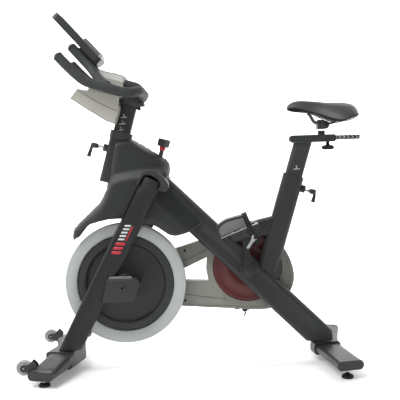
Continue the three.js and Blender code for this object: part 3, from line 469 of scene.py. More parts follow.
# ------------------------------------------------------------------ flywheel
BOX_FACES = [(0, 1, 2, 3), (7, 6, 5, 4), (0, 4, 5, 1), (1, 5, 6, 2), (2, 6, 7, 3), (3, 7, 4, 0)]
HUB = Vector(JOINTS["flywheel_spin"]["pos_m"])
R_OUT = (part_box("flywheel_rim")[1].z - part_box("flywheel_rim")[0].z) / 2 * 1000
HALF_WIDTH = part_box("flywheel_rim")[1].y * 1000
RIM = 174
lathe("flywheel_rim_turned", [
    (RIM, 3 - HALF_WIDTH), (RIM + 1.2, 1.2 - HALF_WIDTH), (RIM + 3, -HALF_WIDTH), (R_OUT - 4, -HALF_WIDTH),
    (R_OUT - 1.6, 0.8 - HALF_WIDTH), (R_OUT, 3 - HALF_WIDTH), (R_OUT, HALF_WIDTH - 3),
    (R_OUT - 1.6, HALF_WIDTH - 0.8), (R_OUT - 4, HALF_WIDTH), (RIM + 3, HALF_WIDTH),
    (RIM + 1.2, HALF_WIDTH - 1.2), (RIM, HALF_WIDTH - 3), (RIM, 3 - HALF_WIDTH),
], HUB, (0, 1, 0), RING, "flywheel", 180, replaces=["flywheel_rim"])
lathe("flywheel_disc_turned", [
    (10.3, -42), (24, -42), (26.5, -41.2), (28, -39), (28, -12), (31, -8), (36, -6.5), (128, -5),
    (137, -5.4), (141, -7), (143, -10), (144.5, -11.6), (147, -12), (170, -12), (172.6, -11.2),
    (173.7, -9), (173.7, 9), (172, 12), (147, 12), (143, 10), (137, 5.4), (36, 6.5), (28, 12),
    (28, 41), (34, 41), (34, 55), (10.3, 55), (10.3, -42),
], HUB, (0, 1, 0), COAT, "flywheel", 144, replaces=["flywheel_disc"], slot="dark_metal")
for k in range(6):
    a = math.radians(60 * k + 15)
    at = HUB + Vector((math.cos(a) * 0.062, -0.0062, math.sin(a) * 0.062))
    lathe(
        f"flywheel_bolt_{k}", [(0, -3.5), (4.2, -3.4), (5, -2.6), (5, 0), (0, 0)], at, (0, 1, 0), DARK,
        "flywheel", 6)


def axle_bracket(side, name):
    """The plate on the leg's outer face, with a pale strip on its chamfer that paints a highlight, its axle
    cap and hexagon socket.
    """
    near, far = (1, 0) if side < 0 else (0, 1)
    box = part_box(f"axle_bracket_{name}")
    face = box[far].y * 1000
    outline = [(-303, 250), (-193, 250), (-175, 290), (-167, 314), (-178, 333), (-281, 333)]
    # frame coat block given the darker dark paint: the extra darkness is painted shade on its face
    prism(
        f"axle_bracket_{name}_block", rounded(outline, 3, 3), box[near].y * 1000, face, DARK, "frame",
        replaces=[f"axle_bracket_{name}"], slot="frame_coat", bevel=0.0022)
    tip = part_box("flywheel_axle")[far].y * 1000 + side * 0.5
    at = Vector((HUB.x, 0, HUB.z))
    lathe(f"axle_cap_{name}", [
        (0, tip - side * 0.4), (3.2, tip - side * 0.4), (3.6, tip + side), (8, tip + side * 0.6),
        (10, tip), (10.6, face), (10.2, face)], at, (0, 1, 0), DARK, "frame", 40, slot="frame_coat")
    lathe(
        f"axle_socket_{name}", [(0, tip + side * 0.4), (4.4, tip + side * 0.4), (4.4, tip + side * 1.2),
            (0, tip + side * 1.2)], at, (0, 1, 0), BLACK, "frame", 24, slot="frame_coat")
    # pale grey strip along the chamfer: a painted highlight where the edge catches the light
    rim = ((-280, 328, 0.2), (-191, 328, 0.2), (-197, 341, -4), (-271, 341, -4))
    highlight_strip = [V(x, face + side * out, z) for x, z, out in rim]
    highlight_strip += [V(x, face - side * 4.7, z) for x, z, out in rim]
    finish_mesh(
        f"axle_bracket_painted_highlight_{name}", highlight_strip, BOX_FACES, GREY, "frame", slot="frame_coat", bevel=0.0004)


for side, name in SIDES:
    axle_bracket(side, name)

# ------------------------------------------------------------------ crank, pedals
BB = Vector(JOINTS["crank_spin"]["pos_m"])
lathe("red_disc", [
    (13, 33.2), (34, 33.2), (36, 34), (60, 34), (61, 33.4), (86, 33.4), (87, 34), (112, 34), (113.5, 33.2),
    (122, 33), (125, 33.6), (126, 34.6), (126, 36), (13, 36), (13, 33.2)],
    Vector((BB.x, 0, BB.z)), (0, 1, 0), RED_DISC, "frame", 120, replaces=["belt_cover_disc"])


def crank_arm(side, name):
    pivot = JOINTS[f"pedal_{name}_spin"]["pos_m"]
    d = Vector((pivot[0] - BB.x, 0, pivot[2] - BB.z))
    length = d.length
    d.normalize()
    across = Vector((-d.z, 0, d.x))
    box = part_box(f"crank_arm_{name}")
    y_in, y_out = sorted((abs(box[0].y), abs(box[1].y)))
    stations = [
        (-0.0185, 0.010), (-0.013, 0.0165), (-0.004, 0.019), (0.008, 0.019), (0.022, 0.0168),
        (0.045, 0.0135), (0.08, 0.012), (0.115, 0.0115), (length - 0.016, 0.012),
        (length - 0.004, 0.0128), (length + 0.006, 0.0105), (length + 0.0125, 0.0055)]
    rings = []
    for at, half in stations:
        c = BB + d * at
        inset = 0.0 if at < 0.02 or at > length - 0.03 else 0.0015
        lo, hi = side * (y_in + 0.0003), side * (y_out - 0.0003 - inset)
        ring = []
        for a, y in ((-1, lo), (-1, hi * 0.75 + lo * 0.25), (-0.72, hi), (0, hi), (0.72, hi),
                     (1, hi * 0.75 + lo * 0.25), (1, lo), (0, lo)):
            p = c + across * half * a
            ring.append(Vector((p.x, y, p.z)))
        rings.append(ring)
    loft(
        f"crank_arm_{name}_forged", rings, DARK, "crank", replaces=[f"crank_arm_{name}"], bevel=0.001,
        angle=40, subsurf=1)
    lathe(
        f"crank_cap_{name}", [(0, 0), (8, 0), (11, -0.6 * side), (11, -4 * side), (0, -4 * side)],
        Vector((BB.x, side * (y_out + 0.0008), BB.z)), (0, 1, 0), DARK, "crank", 40)


for side, name in SIDES:
    crank_arm(side, name)

TURN = {"left": -21.0, "right": 4.0}


def pedal_place(name, side):
    pivot = Vector(JOINTS[f"pedal_{name}_spin"]["pos_m"])
    a = math.radians(TURN[name])
    ca, sa = math.cos(a), math.sin(a)

    def put(x, y, z):
        return Vector(
            (pivot.x + (x * ca + z * sa) / 1000, side * y / 1000, pivot.z + (-x * sa + z * ca) / 1000))
    return put


def strip(name, path, y0, y1, thick, mat, body, put, **kw):
    """Flat band along an (x, z) path, bent from a strip of even thickness."""
    pts = catmull(path, 5)
    rings = []
    for i, p in enumerate(pts):
        t = (pts[min(i + 1, len(pts) - 1)] - pts[max(i - 1, 0)]).normalized()
        n = Vector((-t.y, t.x)) * thick / 2
        rings.append([put(p.x + n.x * k, y, p.y + n.y * k)
                      for k, y in ((1, y0), (1, y1), (-1, y1), (-1, y0))])
    loft(name, rings, mat, body, **kw)


def pedal_platform(name, put, body):
    rail = rounded([(-50, -8), (-40, -13), (38, -13), (49, -8), (50, 7), (44, 13), (-44, 13), (-50, 8)], 4)
    prism(
        f"pedal_{name}_inner_rail", rail, 105.5, 117, DARK, body, put, replaces=[f"pedal_{name}"],
        bevel=0.0014)
    prism(f"pedal_{name}_outer_rail", rail, 183, 194.5, DARK, body, put, bevel=0.0014)
    for k, (x0, x1) in enumerate(((-49, -37), (-15, 15), (37, 49))):
        bar = rounded([(x0, -9), (x1, -9), (x1, 12), (x0, 12)], 3)
        prism(f"pedal_{name}_bar_{k}", bar, 116.5, 183.5, DARK, body, put, bevel=0.0012)
    axis = put(0, 1000, 0) - put(0, 0, 0)
    lathe(
        f"pedal_{name}_spindle", [(0, 68.5), (7, 68.5), (7, 82), (9.5, 84), (9.5, 96), (6, 98), (6, 106),
            (0, 106)], put(0, 0, 0), axis, STEEL, body, 32)
    lathe(
        f"pedal_{name}_dust_cap", [(0, 194), (10, 194), (10, 194.6), (6, 194.9), (0, 194.9)],
        put(0, 0, 0), axis, DARK, body, 32)
    # bright sole plates along both rails
    sole = rounded([(-50, 13.6), (49, 13.6), (50, 16), (-84, 16.4), (-84, 13.8)], 0.6, 2)
    for k, (y0, y1) in enumerate(((104.6, 111), (189, 195))):
        prism(f"pedal_{name}_sole_{k}", sole, y0, y1, STEEL, body, put, bevel=0.0004)


def toe_cage(name, put, body):
    cage = [
        (-44, 18), (-66, 18), (-82, 19.5), (-88.5, 28), (-88, 40), (-81, 52), (-70, 58.5), (-47, 63),
        (-20, 60.5), (2, 57), (22, 54)]
    strip(
        f"toe_cage_{name}_shell", cage, 121, 179, 2.6, PLASTIC, body, put, replaces=[f"toe_cage_{name}"],
        bevel=0.0006, angle=50)
    for k, y in enumerate((119.5, 177.5)):
        wing = [
            (15, 17), (-82, 19), (-88, 29), (-87, 40), (-80, 52), (-70, 57.5), (-47, 61.6), (-20, 59),
            (15, 53.5)]
        prism(
            f"toe_cage_{name}_wing_{k}", rounded(wing, 3, 3), y, y + 3, GREY, body, put,
            slot="black_plastic", bevel=0.0005)
        low = [(-84, 24), (-85, 38), (-78, 48), (-69, 54), (-47, 59.2), (-20, 56.8), (2, 53.2), (20, 50.4)]
        strip(
            f"toe_cage_{name}_rim_{k}", low, y - 0.8, y + 3.8, 6.5, PLASTIC, body, put, bevel=0.0008,
            angle=50)


def band_ring(p, wide, thick):
    return [p - wide - thick, p + wide - thick, p + wide + thick, p - wide + thick]


def toe_strap(side, name, put, body):
    """A strap round the whole pedal, its buckle and the tail that hangs from it."""
    near = side < 0
    sag, at = (0, 18) if near else (20, -18)
    loop = [
        (103.2, 30), (103.2, -8), (108, -14), (125, -15.2 - sag), (150, -15.4 - sag), (175, -15.2 - sag),
        (192, -14), (197.2, -8), (197.4, 12), (196.8, 32), (192, 49), (182, 57.5), (165, 60),
        (150, 60.6), (135, 60), (118, 57.5), (108.5, 49), (103.8, 34), (103.2, 30)]
    rings = []
    path = catmull([put(at, y, z if near or z <= 45 else z + 3.5) for y, z in loop], 4)
    wide = (put(1, 0, 0) - put(0, 0, 0)).normalized()
    for i, p in enumerate(path[:-1]):
        t = (path[i + 1] - path[i - 1 if i else -2]).normalized()
        n = t.cross(wide).normalized() * 0.0009
        rings.append(band_ring(p, wide * 0.0088, n))
    rings.append(rings[0])
    loft(f"pedal_strap_{name}", rings, STRAP, body, cap=False, angle=50, bevel=0.0003)
    if near:
        buckle = [
            (-18, -50), (-10, -52), (4, -41), (14, -36), (25, -33), (26, -26), (17, -26), (22, -16),
            (16, -14), (6, -27), (-4, -36), (-16, -43)]
    else:
        buckle = [(-30, -26), (-14, -26), (-14, -33), (-30, -33)]
    prism(f"pedal_buckle_{name}", rounded(buckle, 2, 3), 197.8, 200.2, STEEL, body, put, bevel=0.0006)
    if not near:
        for k, (x0, x1) in enumerate(((-60, -36), (-12, 4))):
            block = rounded([(x0, -20), (x1, -20), (x1 - 2, -34), (x0 + 5, -36)], 2, 3)
            prism(f"strap_keeper_{name}_{k}", block, 150, 197, STRAP, body, put, bevel=0.0012)
    top, step, half = (-4, 8, 0.006) if near else (-34, 6, 0.0028)
    tail = [put(at + (1.5 * k if k < 4 else 9 - 2.5 * (k - 3)), 199.2 + (0.6 if k % 2 else 0),
                top - step * k) for k in range(7)]
    rings = [band_ring(p, wide * half, Vector((0, side * 0.0006, 0))) for p in catmull(tail, 3)]
    loft(f"pedal_strap_tail_{name}", rings, STRAP, body)


for side, name in SIDES:
    put, body = pedal_place(name, side), f"pedal_unit_{name}"
    pedal_platform(name, put, body)
    toe_cage(name, put, body)
    toe_strap(side, name, put, body)

# ------------------------------------------------------------------ handlebars
LOOP_Y = 140
half = [
    (-420, LOOP_Y - 4, 1106), (-384, LOOP_Y - 2, 1066), (-352, LOOP_Y, 1034), (-326, LOOP_Y + 2, 1013),
    (-300, LOOP_Y + 3, 1002), (-270, LOOP_Y + 5, 993), (-237, LOOP_Y + 7, 982), (-205, LOOP_Y + 6, 972),
    (-174, LOOP_Y + 3, 968), (-159, LOOP_Y - 8, 971), (-148, LOOP_Y - 28, 974), (-145, 74, 972),
    (-145, 36, 963)]
loop = [V(x, -y, z) for x, y, z in half] + [V(-146, 0, 957)] + [V(x, y, z) for x, y, z in half[::-1]]
tube("handlebar_loop_foam", loop, 0.0169, FOAM, "handlebar_unit", 7, 28, replaces=["handlebar_loop"])
for side, name in SIDES:
    arm = [V(x, side * 50, z) for x, z in ((-206, 1007), (-180, 999), (-160, 992), (-150, 981),
                                           (-145, 966))]
    tube(f"handlebar_arm_{name}", arm, 0.0159, FOAM, "handlebar_unit", 7, 28)
    horn = [V(x, side * (50 + w), z) for x, w, z in (
        (-387, 0, 1146), (-346, 2, 1098), (-324, 8, 1073), (-310, 16, 1056), (-296, 32, 1037),
        (-281, 50, 1019), (-263, 70, 1002), (-248, 82, 992))]
    extra = {"replaces": ["aero_bars"]} if side < 0 else {}
    tube(f"aero_bar_{name}", horn, 0.0159, FOAM, "handlebar_unit", 7, 28, **extra)
    for grip, (x, y, z, dx, dz) in (("loop", (-420, LOOP_Y - 4, 1106, -32, 33)),
                                    ("aero", (-387, 50, 1146, -36, 42))):
        d = Vector((dx, 0, dz)).normalized()
        lathe(
            f"{grip}_plug_{name}", [(0, -3), (6, -3), (6.5, -0.6), (5, 0.5), (0, 0.8)],
            V(x, side * y, z) - d * 0.0008, d, RUBBER, "handlebar_unit", 32)
prism(
    "aero_bridge", rounded([(-336.8, 1089.5), (-310, 1059.7), (-307, 1062.4), (-333.8, 1092.2)], 1, 2),
    -56, 56, COAT, "handlebar_unit", bevel=0.0008)

# ------------------------------------------------------------------ fork legs
LEG_TOP, LEG_DOWN, LEG_ACROSS = Vector((-113, 672.5)), Vector((-0.4655, -0.885)), Vector((0.885, -0.4655))
LEG_HALF, LEG_DEPTH, CROWN, LEG_Y = 22.0, 37.0, 2.25, 90


def leg_surface(v):
    """How far the crowned flank stands out from the middle of the leg, across its depth."""
    return LEG_HALF * max(0.0, 1 - abs(v / LEG_DEPTH) ** CROWN) ** (1 / CROWN)


def fork_leg(side, name):
    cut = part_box(f"fork_leg_{name}")[0].z * 1000
    power = 2 / CROWN
    section = [(math.copysign(abs(a) ** power, a) * LEG_DEPTH, math.copysign(abs(b) ** power, b) * LEG_HALF)
               for a, b in circle(56)]
    rings = []
    for t in (0, 0.004, 0.1, 0.25, 0.4, 0.55, 0.7, 0.85, 0.95, 0.996, 1):
        tuck = 0.95 if t in (0, 1) else 1.0
        ring = []
        for v, y in section:
            end = (LEG_TOP.y + LEG_ACROSS.y * v - cut) / -LEG_DOWN.y
            p = LEG_TOP + LEG_DOWN * (end * t) + LEG_ACROSS * v * tuck
            ring.append(V(p.x, side * LEG_Y + y * tuck, max(p.y, cut)))
        rings.append(ring)
    loft(f"fork_leg_{name}_tube", rings, SHADED_COAT, "frame", replaces=[f"fork_leg_{name}"])


for side, name in SIDES:
    fork_leg(side, name)

# ------------------------------------------------------------------ shroud
TOP_EDGE = [(-252, 800), (-232, 812), (-194, 817), (-128, 776), (-66, 735), (-56, 722), (-56, 700)]
REAR_EDGE = [(-60, 670), (-52, 638), (-35, 618), (-1, 584), (33, 549), (54, 524), (55, 513)]
UNDER_EDGE = [(42, 500), (18, 485), (4, 480), (-20, 473), (-42, 468)]
ARCH_EDGE = [
    (-66, 474), (-95, 495), (-115, 508), (-155, 516), (-195, 530), (-232, 536), (-275, 535), (-317, 526),
    (-346, 518), (-368, 502), (-384, 482)]
FRONT_EDGE = [
    (-411, 462), (-413, 480), (-408, 498), (-385, 522), (-347, 556), (-309, 591), (-290, 625),
    (-281, 652)]
OUTLINE = TOP_EDGE + REAR_EDGE + UNDER_EDGE + ARCH_EDGE + [(-398, 464)] + FRONT_EDGE
SOFT = TOP_EDGE + [(-60, 672)]
FRONT = FRONT_EDGE + TOP_EDGE[:1]
REAR = [(-60, 672)] + REAR_EDGE[1:-1] + [(56, 513)]
FLARE = [(-320, 600), (-298, 640), (-284, 664), (-258, 690), (-212, 702), (-159, 708), (-60, 712)]
RIM_INSET = 1.8


def distance_to(path, x, z):
    best = 1e9
    p = Vector((x, z))
    for a, b in zip(path, path[1:]):
        a, b = Vector(a), Vector(b)
        t = max(0.0, min(1.0, (p - a).dot(b - a) / (b - a).length_squared))
        best = min(best, (p - (a + (b - a) * t)).length)
    return best


def inside(poly, x, z):
    hit = False
    for (x1, z1), (x2, z2) in zip(poly, poly[1:] + poly[:1]):
        if (z1 > z) != (z2 > z) and x < (x2 - x1) * (z - z1) / (z2 - z1) + x1:
            hit = not hit
    return hit


def ease(d, r):
    d = max(0.0, min(d, r))
    return math.sqrt(max(0.0, 1 - (1 - d / r) ** 2))


def smooth(t):
    t = max(0.0, min(1.0, t))
    return t * t * (3 - 2 * t)


def along_path(path, x):
    for (x0, z0), (x1, z1) in zip(path, path[1:]):
        if x <= x1:
            return z0 + (z1 - z0) * max(0.0, (x - x0) / (x1 - x0))
    return path[-1][1]


def shroud_width(x, z):
    # narrow beside the head tube, flaring out over the wheel below the soft shoulder line
    wide = 39 + 18.1 * smooth((along_path(FLARE, x) + 6 - z) / 46)
    wide -= 9 * smooth((-300 - x) / 100)
    # the rear lobe closes in on the beam
    wide -= 27 * (1 - smooth(distance_to(REAR, x, z) / 75)) * smooth((690 - z) / 40)
    # above the crease the side leans in towards the rear top edge
    crease = (z - 808) * 0.688 + (x + 192) * 0.66
    if crease > 0:
        wide -= min(27, crease * 0.95)
    wide -= 8 * (1 - smooth(distance_to(ARCH_EDGE, x, z) / 22))
    # the rounded rim runs a little inside both paths, and the halves meet along it
    top = ease(distance_to(SOFT, x, z) - RIM_INSET, 14)
    front = ease(distance_to(FRONT, x, z) - RIM_INSET, 25)
    return max(0.6, wide * min(top, front))


def dense(poly, step):
    out = []
    for (x1, z1), (x2, z2) in zip(poly, poly[1:] + poly[:1]):
        n = max(1, int(math.hypot(x2 - x1, z2 - z1) / step))
        out += [(x1 + (x2 - x1) * k / n, z1 + (z2 - z1) * k / n) for k in range(n)]
    return out


def shroud(side, name):
    rim = dense(rounded(OUTLINE, 8, 3), 5)
    points = [Vector(p) for p in rim]
    n = len(points)
    for i in range(80):
        for j in range(66):
            x, z = -418 + i * 6 + (3 if j % 2 else 0), 458 + j * 5.6
            if inside(rim, x, z) and distance_to(rim + rim[:1], x, z) > 2.4:
                points.append(Vector((x, z)))
    for path in (SOFT, FRONT):
        for off in (0.7, RIM_INSET):
            for a, b in zip(path, path[1:]):
                a, b = Vector(a), Vector(b)
                d = (b - a).normalized()
                for s in (-1, 1):
                    nrm = Vector((-d.y, d.x)) * off * s
                    for k in range(1, 6):
                        p = a.lerp(b, k / 6) + nrm
                        if inside(rim, p.x, p.y):
                            points.append(p)
    edges = [(k, (k + 1) % n) for k in range(n)]
    verts2, _, faces, *_ = delaunay_2d_cdt(points, edges, [], 1, 0.05)
    verts = [V(p.x, side * shroud_width(p.x, p.y), p.y) for p in verts2]
    obj = finish_mesh(f"shroud_{name}_shell", verts, [tuple(f) for f in faces], PLASTIC, "frame",
                      replaces=[f"shroud_{name}"])
    wall = obj.modifiers.new("wall", "SOLIDIFY")
    wall.thickness = 0.0025
    wall.offset = 1


HOOD = [
    (-167, 656), (-154, 683), (-147, 697), (-132, 705), (-115, 706), (-98, 699), (-83, 686), (-67, 671),
    (-59, 656), (-58, 641), (-66, 628), (-80, 629), (-90, 635)]
ARCH = [
    (-89, 644), (-86, 655), (-92, 668), (-102, 678), (-116, 685.5), (-131, 688), (-143, 684), (-150, 675),
    (-160, 657)]


HOOD_IN, HOOD_OUT = 38, 113.6


def hood(side, name):
    band = rounded(HOOD, 5, 3) + ARCH
    prism(f"shroud_hood_{name}", band, side * HOOD_IN, side * HOOD_OUT, PLASTIC, "frame", bevel=0.0045,
          angle=50)
    # black line painting the shade in the gap where the leg leaves the shroud
    edge = [V(x, side * 112.2, z) for x, z in ARCH]
    edge += [V(-163, side * 104, 651), V(-200, side * 103, 581), V(-223, side * 102, 537)]
    tube(f"leg_gap_shade_{name}", edge, 0.0019, BLACK, "frame", 4, 10, round_ends=False)


for side, name in SIDES:
    shroud(side, name)
    hood(side, name)
# the bead that the two halves close on at the front
BEAD = [
    (-405.6, 470), (-401.6, 494), (-381.6, 519), (-343.6, 553), (-305.6, 588), (-286.6, 622),
    (-278.6, 646)]
tube("shroud_bead_front", [V(x, 0, z) for x, z in BEAD], 0.0034, PLASTIC, "frame", 4, 10)
SCREW_X, SCREW_Z = -207, 770
for side, name in SIDES:
    lathe(
        f"shroud_screw_{name}", [(0, 0.2), (2.6, 0.3), (4.2, 0.8), (4.6, 0), (4.6, -1.5), (0, -1.5)],
        V(SCREW_X, side * (shroud_width(SCREW_X, SCREW_Z) - 0.4), SCREW_Z), (0, side, 0), BLACK, "frame",
        24)


# ------------------------------------------------------------------ marks and small fittings
def strokes(name, lines, y, width, mat, body, lift=0.25):
    """Printed lines on a side face: each line is a run of (x, z) points."""
    verts, faces = [], []
    for run in lines:
        for (x0, z0), (x1, z1) in zip(run, run[1:]):
            d = Vector((x1 - x0, z1 - z0)).normalized() * width / 2
            n = Vector((-d.y, d.x))
            corners = [(x0 - d.x + n.x, z0 - d.y + n.y), (x1 + d.x + n.x, z1 + d.y + n.y),
                       (x1 + d.x - n.x, z1 + d.y - n.y), (x0 - d.x - n.x, z0 - d.y - n.y)]
            base = len(verts)
            sign = 1 if y > 0 else -1
            verts += [V(x, y, z) for x, z in corners] + [V(x, y + sign * lift, z) for x, z in corners]
            faces += [tuple(base + k for k in f) for f in BOX_FACES]
    finish_mesh(name, verts, faces, mat, body)


DIGITS = {
    1: [[(-1.6, 6.4), (0.6, 8.6), (0.6, 0)]],
    2: [[(-2.4, 7.4), (0, 8.8), (2.3, 7), (1.6, 4.6), (-2.4, 0), (2.6, 0)]],
    3: [[(-2.4, 8.2), (0.6, 8.8), (2.2, 6.8), (0, 4.6), (2.4, 2.2), (0.6, -0.2), (-2.4, 0.6)]],
}
POST_FACE = 20.03


def scale_marks(name, marks, body):
    lines = []
    for digit, (x, z) in marks:
        lines.append([(x - 10, z), (x + 10, z + 0.6)])
        lines += [[(x + a, z + 3.4 + b) for a, b in run] for run in DIGITS[digit]]
    for side, hand in SIDES:
        strokes(f"{name}_{hand}", lines, side * POST_FACE, 2.3, WHITE, body, lift=0.16)


scale_marks("handlebar_scale", ((1, (-211, 891)), (2, (-217, 868)), (3, (-224, 846))), "handlebar_unit")
scale_marks("seat_scale", ((1, (393, 689)),), "seat_post_unit")
arrows = [[(x - 4, z + 5), (x + 4, z), (x - 4, z - 5)] for x, z in (
    (536, 796), (549, 796), (563, 796), (578, 796), (593, 796), (608, 796))]
SLIDE_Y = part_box("seat_slide_bar")[1].y * 1000
for side, name in SIDES:
    strokes(f"slide_marks_{name}", arrows, side * (SLIDE_Y + 0.05), 2.2, WHITE, "seat_slider")
for side, name in SIDES:
    lathe(
        f"stem_bolt_{name}", [(0, 0), (6.4, 0), (6.4, 2.4), (5.4, 3.4), (3.4, 3.4), (3.0, 1.6), (0, 1.6)],
        V(-197, side * 24, 949), (0, side, 0), DARK, "handlebar_unit", 28, slot="bright_steel")
lathe(
    "stem_knob", [(0, -2), (4, -2), (4, 6), (9, 7), (10, 10), (10, 16), (8, 18), (0, 18.4)],
    V(-171, 0, 921), (0.96, 0, 0.27), RUBBER, "handlebar_unit", 32)


def stripes(side, name):
    """Plain diagonal stripes wrapped on the crowned side of the fork leg."""
    bands = {"white": [(182 + k * 13, 189 + k * 13, -16, 4) for k in range(5)],
             "red": [(176, 232, 8, 13)] + [(250 + k * 17, 261 + k * 17, -17, 13) for k in range(3)]}
    for tint, mat in (("white", WHITE), ("red", RED)):
        verts, faces = [], []
        for s0, s1, v0, v1 in bands[tint]:
            steps = 1 + int((v1 - v0) / 4)
            base = len(verts)
            for k in range(steps + 1):
                v = v0 + (v1 - v0) * k / steps
                for at in (s0, s1):
                    p = LEG_TOP + LEG_DOWN * (at - (v - v0) * 0.45) + LEG_ACROSS * v
                    for lift in (-0.4, 0.3):
                        verts.append(V(p.x, side * (LEG_Y + leg_surface(v) + lift), p.y))
            for k in range(steps):
                i = base + 4 * k
                faces += [(i, i + 4, i + 5, i + 1), (i + 1, i + 5, i + 7, i + 3),
                          (i + 3, i + 7, i + 6, i + 2), (i + 2, i + 6, i + 4, i)]
            faces += [(base, base + 1, base + 3, base + 2),
                      tuple(base + 4 * steps + j for j in (2, 3, 1, 0))]
        finish_mesh(f"leg_stripe_{tint}_{name}", verts, faces, mat, "frame", slot="frame_coat")


for side, name in SIDES:
    stripes(side, name)

# clamp levers: bright stud, dark barrel and a cranked dark handle
for name, node, body, stud, barrel, grip in (
        ("handlebar", "handlebar_lock_lever", "handlebar_lever",
         [(-292, 790), (-312, 794)], [(-308, 793), (-334, 799.5)],
         [(-331, 797), (-335, 785), (-340, 772), (-345, 758)]),
        ("seat", "seat_lock_lever", "seat_lever",
         [(421, 612.5), (443, 608)], [(438, 609.5), (461, 603)],
         [(456, 603), (456, 592), (453, 580), (450, 568)])):
    a, b = V(stud[0][0], 0, stud[0][1]), V(stud[1][0], 0, stud[1][1])
    tube(f"{name}_lever_stud", [a, a.lerp(b, 0.5), b], 0.0042, STEEL, body, 3, 24, replaces=[node])
    a, b = V(barrel[0][0], 0, barrel[0][1]), V(barrel[1][0], 0, barrel[1][1])
    d = (b - a).normalized()
    length = (b - a).length * 1000
    lathe(
        f"{name}_lever_barrel", [(0, 0), (6.5, 0), (7, 3), (9, 5), (9.4, 8), (9.6, length - 3),
            (8.2, length), (0, length)], a, d, DARK, body, 32)
    lathe(f"{name}_lever_washer", [(0, -3), (7.4, -3), (7.4, -0.4), (0, -0.4)], a, d, STEEL, body, 32)
    path = catmull([V(x, 0, z) for x, z in grip], 5)
    rings = sweep_rings(path, lambda t: 0.0056 + 0.0022 * t * t, 20)
    loft(f"{name}_lever_grip", rings, DARK, body, bevel=0.0008)

# belt cover ribs, rims and screws on the near face
COVER_FACE = 31


def face_line(name, points, width):
    """A raised line on the near face of the belt cover, in the darker cover plastic that paints shade along
    it.
    """
    path = catmull([Vector((x, 0, z)) for x, z in points], 4)
    rings = []
    for i, p in enumerate(path):
        t = (path[min(i + 1, len(path) - 1)] - path[max(i - 1, 0)]).normalized()
        n = Vector((-t.z, 0, t.x)) * width / 2
        rings.append([V(p.x + n.x * k, y, p.z + n.z * k) for k, y in (
            (1, COVER_FACE), (0.6, COVER_FACE - 0.8), (-0.6, COVER_FACE - 0.8), (-1, COVER_FACE))])
    loft(name, rings, SHADED_COVER, "frame")


face_line("cover_rib_upper", [(-30, 360), (10, 379), (63, 405), (84, 418)], 3.4)
face_line("cover_rib_lower", [(-40, 247), (20, 238), (80, 229), (110, 225), (128, 222)], 3.4)
face_line(
    "cover_rim_rear", [(150, 196), (215, 190), (275, 193), (318, 208), (345, 238), (362, 276), (366, 318),
        (349, 372), (310, 428), (262, 466)], 2.2)
face_line("cover_rim_low", [(-20, 207), (60, 201), (150, 196)], 2.0)
for k, (x, z) in enumerate(((-15, 404), (-19, 221))):
    lathe(
        f"cover_screw_{k}", [(0, 0.8), (2, 0.9), (2.6, 1.8), (4, 1.4), (4.4, 0), (0, 0)],
        V(x, COVER_FACE, z), (0, -1, 0), BLACK, "frame", 20, slot="cover_grey")
prism(
    "seat_tube_foot", rounded([(257, 362), (333, 366), (326, 303), (300, 296), (262, 334)], 5, 3), -18,
    18, DARK, "frame", slot="frame_coat", bevel=0.003)

# ------------------------------------------------------------------ saddle
STATIONS = [
    (365, 7, 907, 903, 900), (368, 12, 914, 904, 896.5), (374, 17.5, 920, 905, 893.5),
    (389, 24, 928, 905, 890), (414, 29, 931, 899, 887), (450, 36, 928, 887, 884),
    (470, 43, 926, 879.5, 882), (484, 50, 924, 873, 881), (509, 68, 921, 861, 878),
    (526, 78.5, 920.5, 855, 877), (540, 86, 920, 852, 876), (556, 90.5, 919, 853, 875),
    (572, 92, 917, 856, 874), (586, 89.5, 914, 861.5, 874), (597, 82, 908.5, 868, 874.4),
    (604, 71, 902, 873, 875.5), (608.5, 56, 894, 877.5, 877), (610.6, 42, 887, 880, 878.6)]


def saddle():
    rings = []
    across = 22
    for x, w, top, edge, under in STATIONS:
        ring = []
        for i in range(across + 1):
            k = -1 + 2 * i / across
            bulge = 1 - abs(k) ** 2.8
            z = edge + (top - edge) * bulge
            # shallow pressure channel along the middle of the rear half
            if 430 < x < 600:
                fade = min(1, (x - 430) / 50, (600 - x) / 30)
                z -= 5.0 * fade * math.exp(-((k * w) / 9.0) ** 2)
            # lap seam between the top panel and the side panel
            seam = abs(abs(k) - 0.74)
            if seam < 0.06:
                z -= 1.6 * (1 - seam / 0.06)
            ring.append(V(x, k * w, z))
        for i in range(across - 1, 0, -1):
            k = -1 + 2 * i / across
            low = edge - 4.6 + (under - edge + 4.6) * (1 - abs(k) ** 3)
            ring.append(V(x, k * w * 0.975, min(low, edge - 0.6)))
        rings.append(ring)
    obj = loft("saddle_cushion", rings, VINYL, "saddle_unit", replaces=["saddle"], subsurf=2)
    obj.data.materials.append(BLACK)
    for face in obj.data.polygons:
        if face.normal.z < -0.15:
            face.material_index = 1
    # piping along the lower edge of the vinyl
    for side, name in SIDES:
        pts = [V(x, side * (w + 0.2) * 0.985, edge - 2.2) for x, w, top, edge, under in STATIONS[1:-1]]
        tube(f"saddle_piping_{name}", pts, 0.0016, RUBBER, "saddle_unit", 3, 8, round_ends=False,
             slot="saddle_vinyl")


saddle()
prism(
    "saddle_clamp_block", rounded([(469, 857), (474, 861), (488, 859), (498, 853), (498, 827),
            (470, 827)], 2, 3), -24, 24, DARK, "saddle_unit", replaces=["saddle_clamp"], bevel=0.0012)
lathe(
    "saddle_clamp_serration", [(0, -26), (11, -26), (14.4, -24.6), (14.4, 24.6), (11, 26), (0, 26)],
    V(497, 0, 841.5), (0, 1, 0), DARK, "saddle_unit", 40)
lathe(
    "saddle_clamp_bolt", [(0, -29), (5.4, -29), (6, -28.4), (6, 28.4), (5.4, 29), (0, 29)],
    V(497, 0, 841.5), (0, 1, 0), DARK, "saddle_unit", 6, bevel=0.0005)

# ------------------------------------------------------------------ knobs, feet, wheels
AXIS = Vector(JOINTS["resistance_turn"]["axis"])
KNOB = Vector(JOINTS["resistance_turn"]["pos_m"])


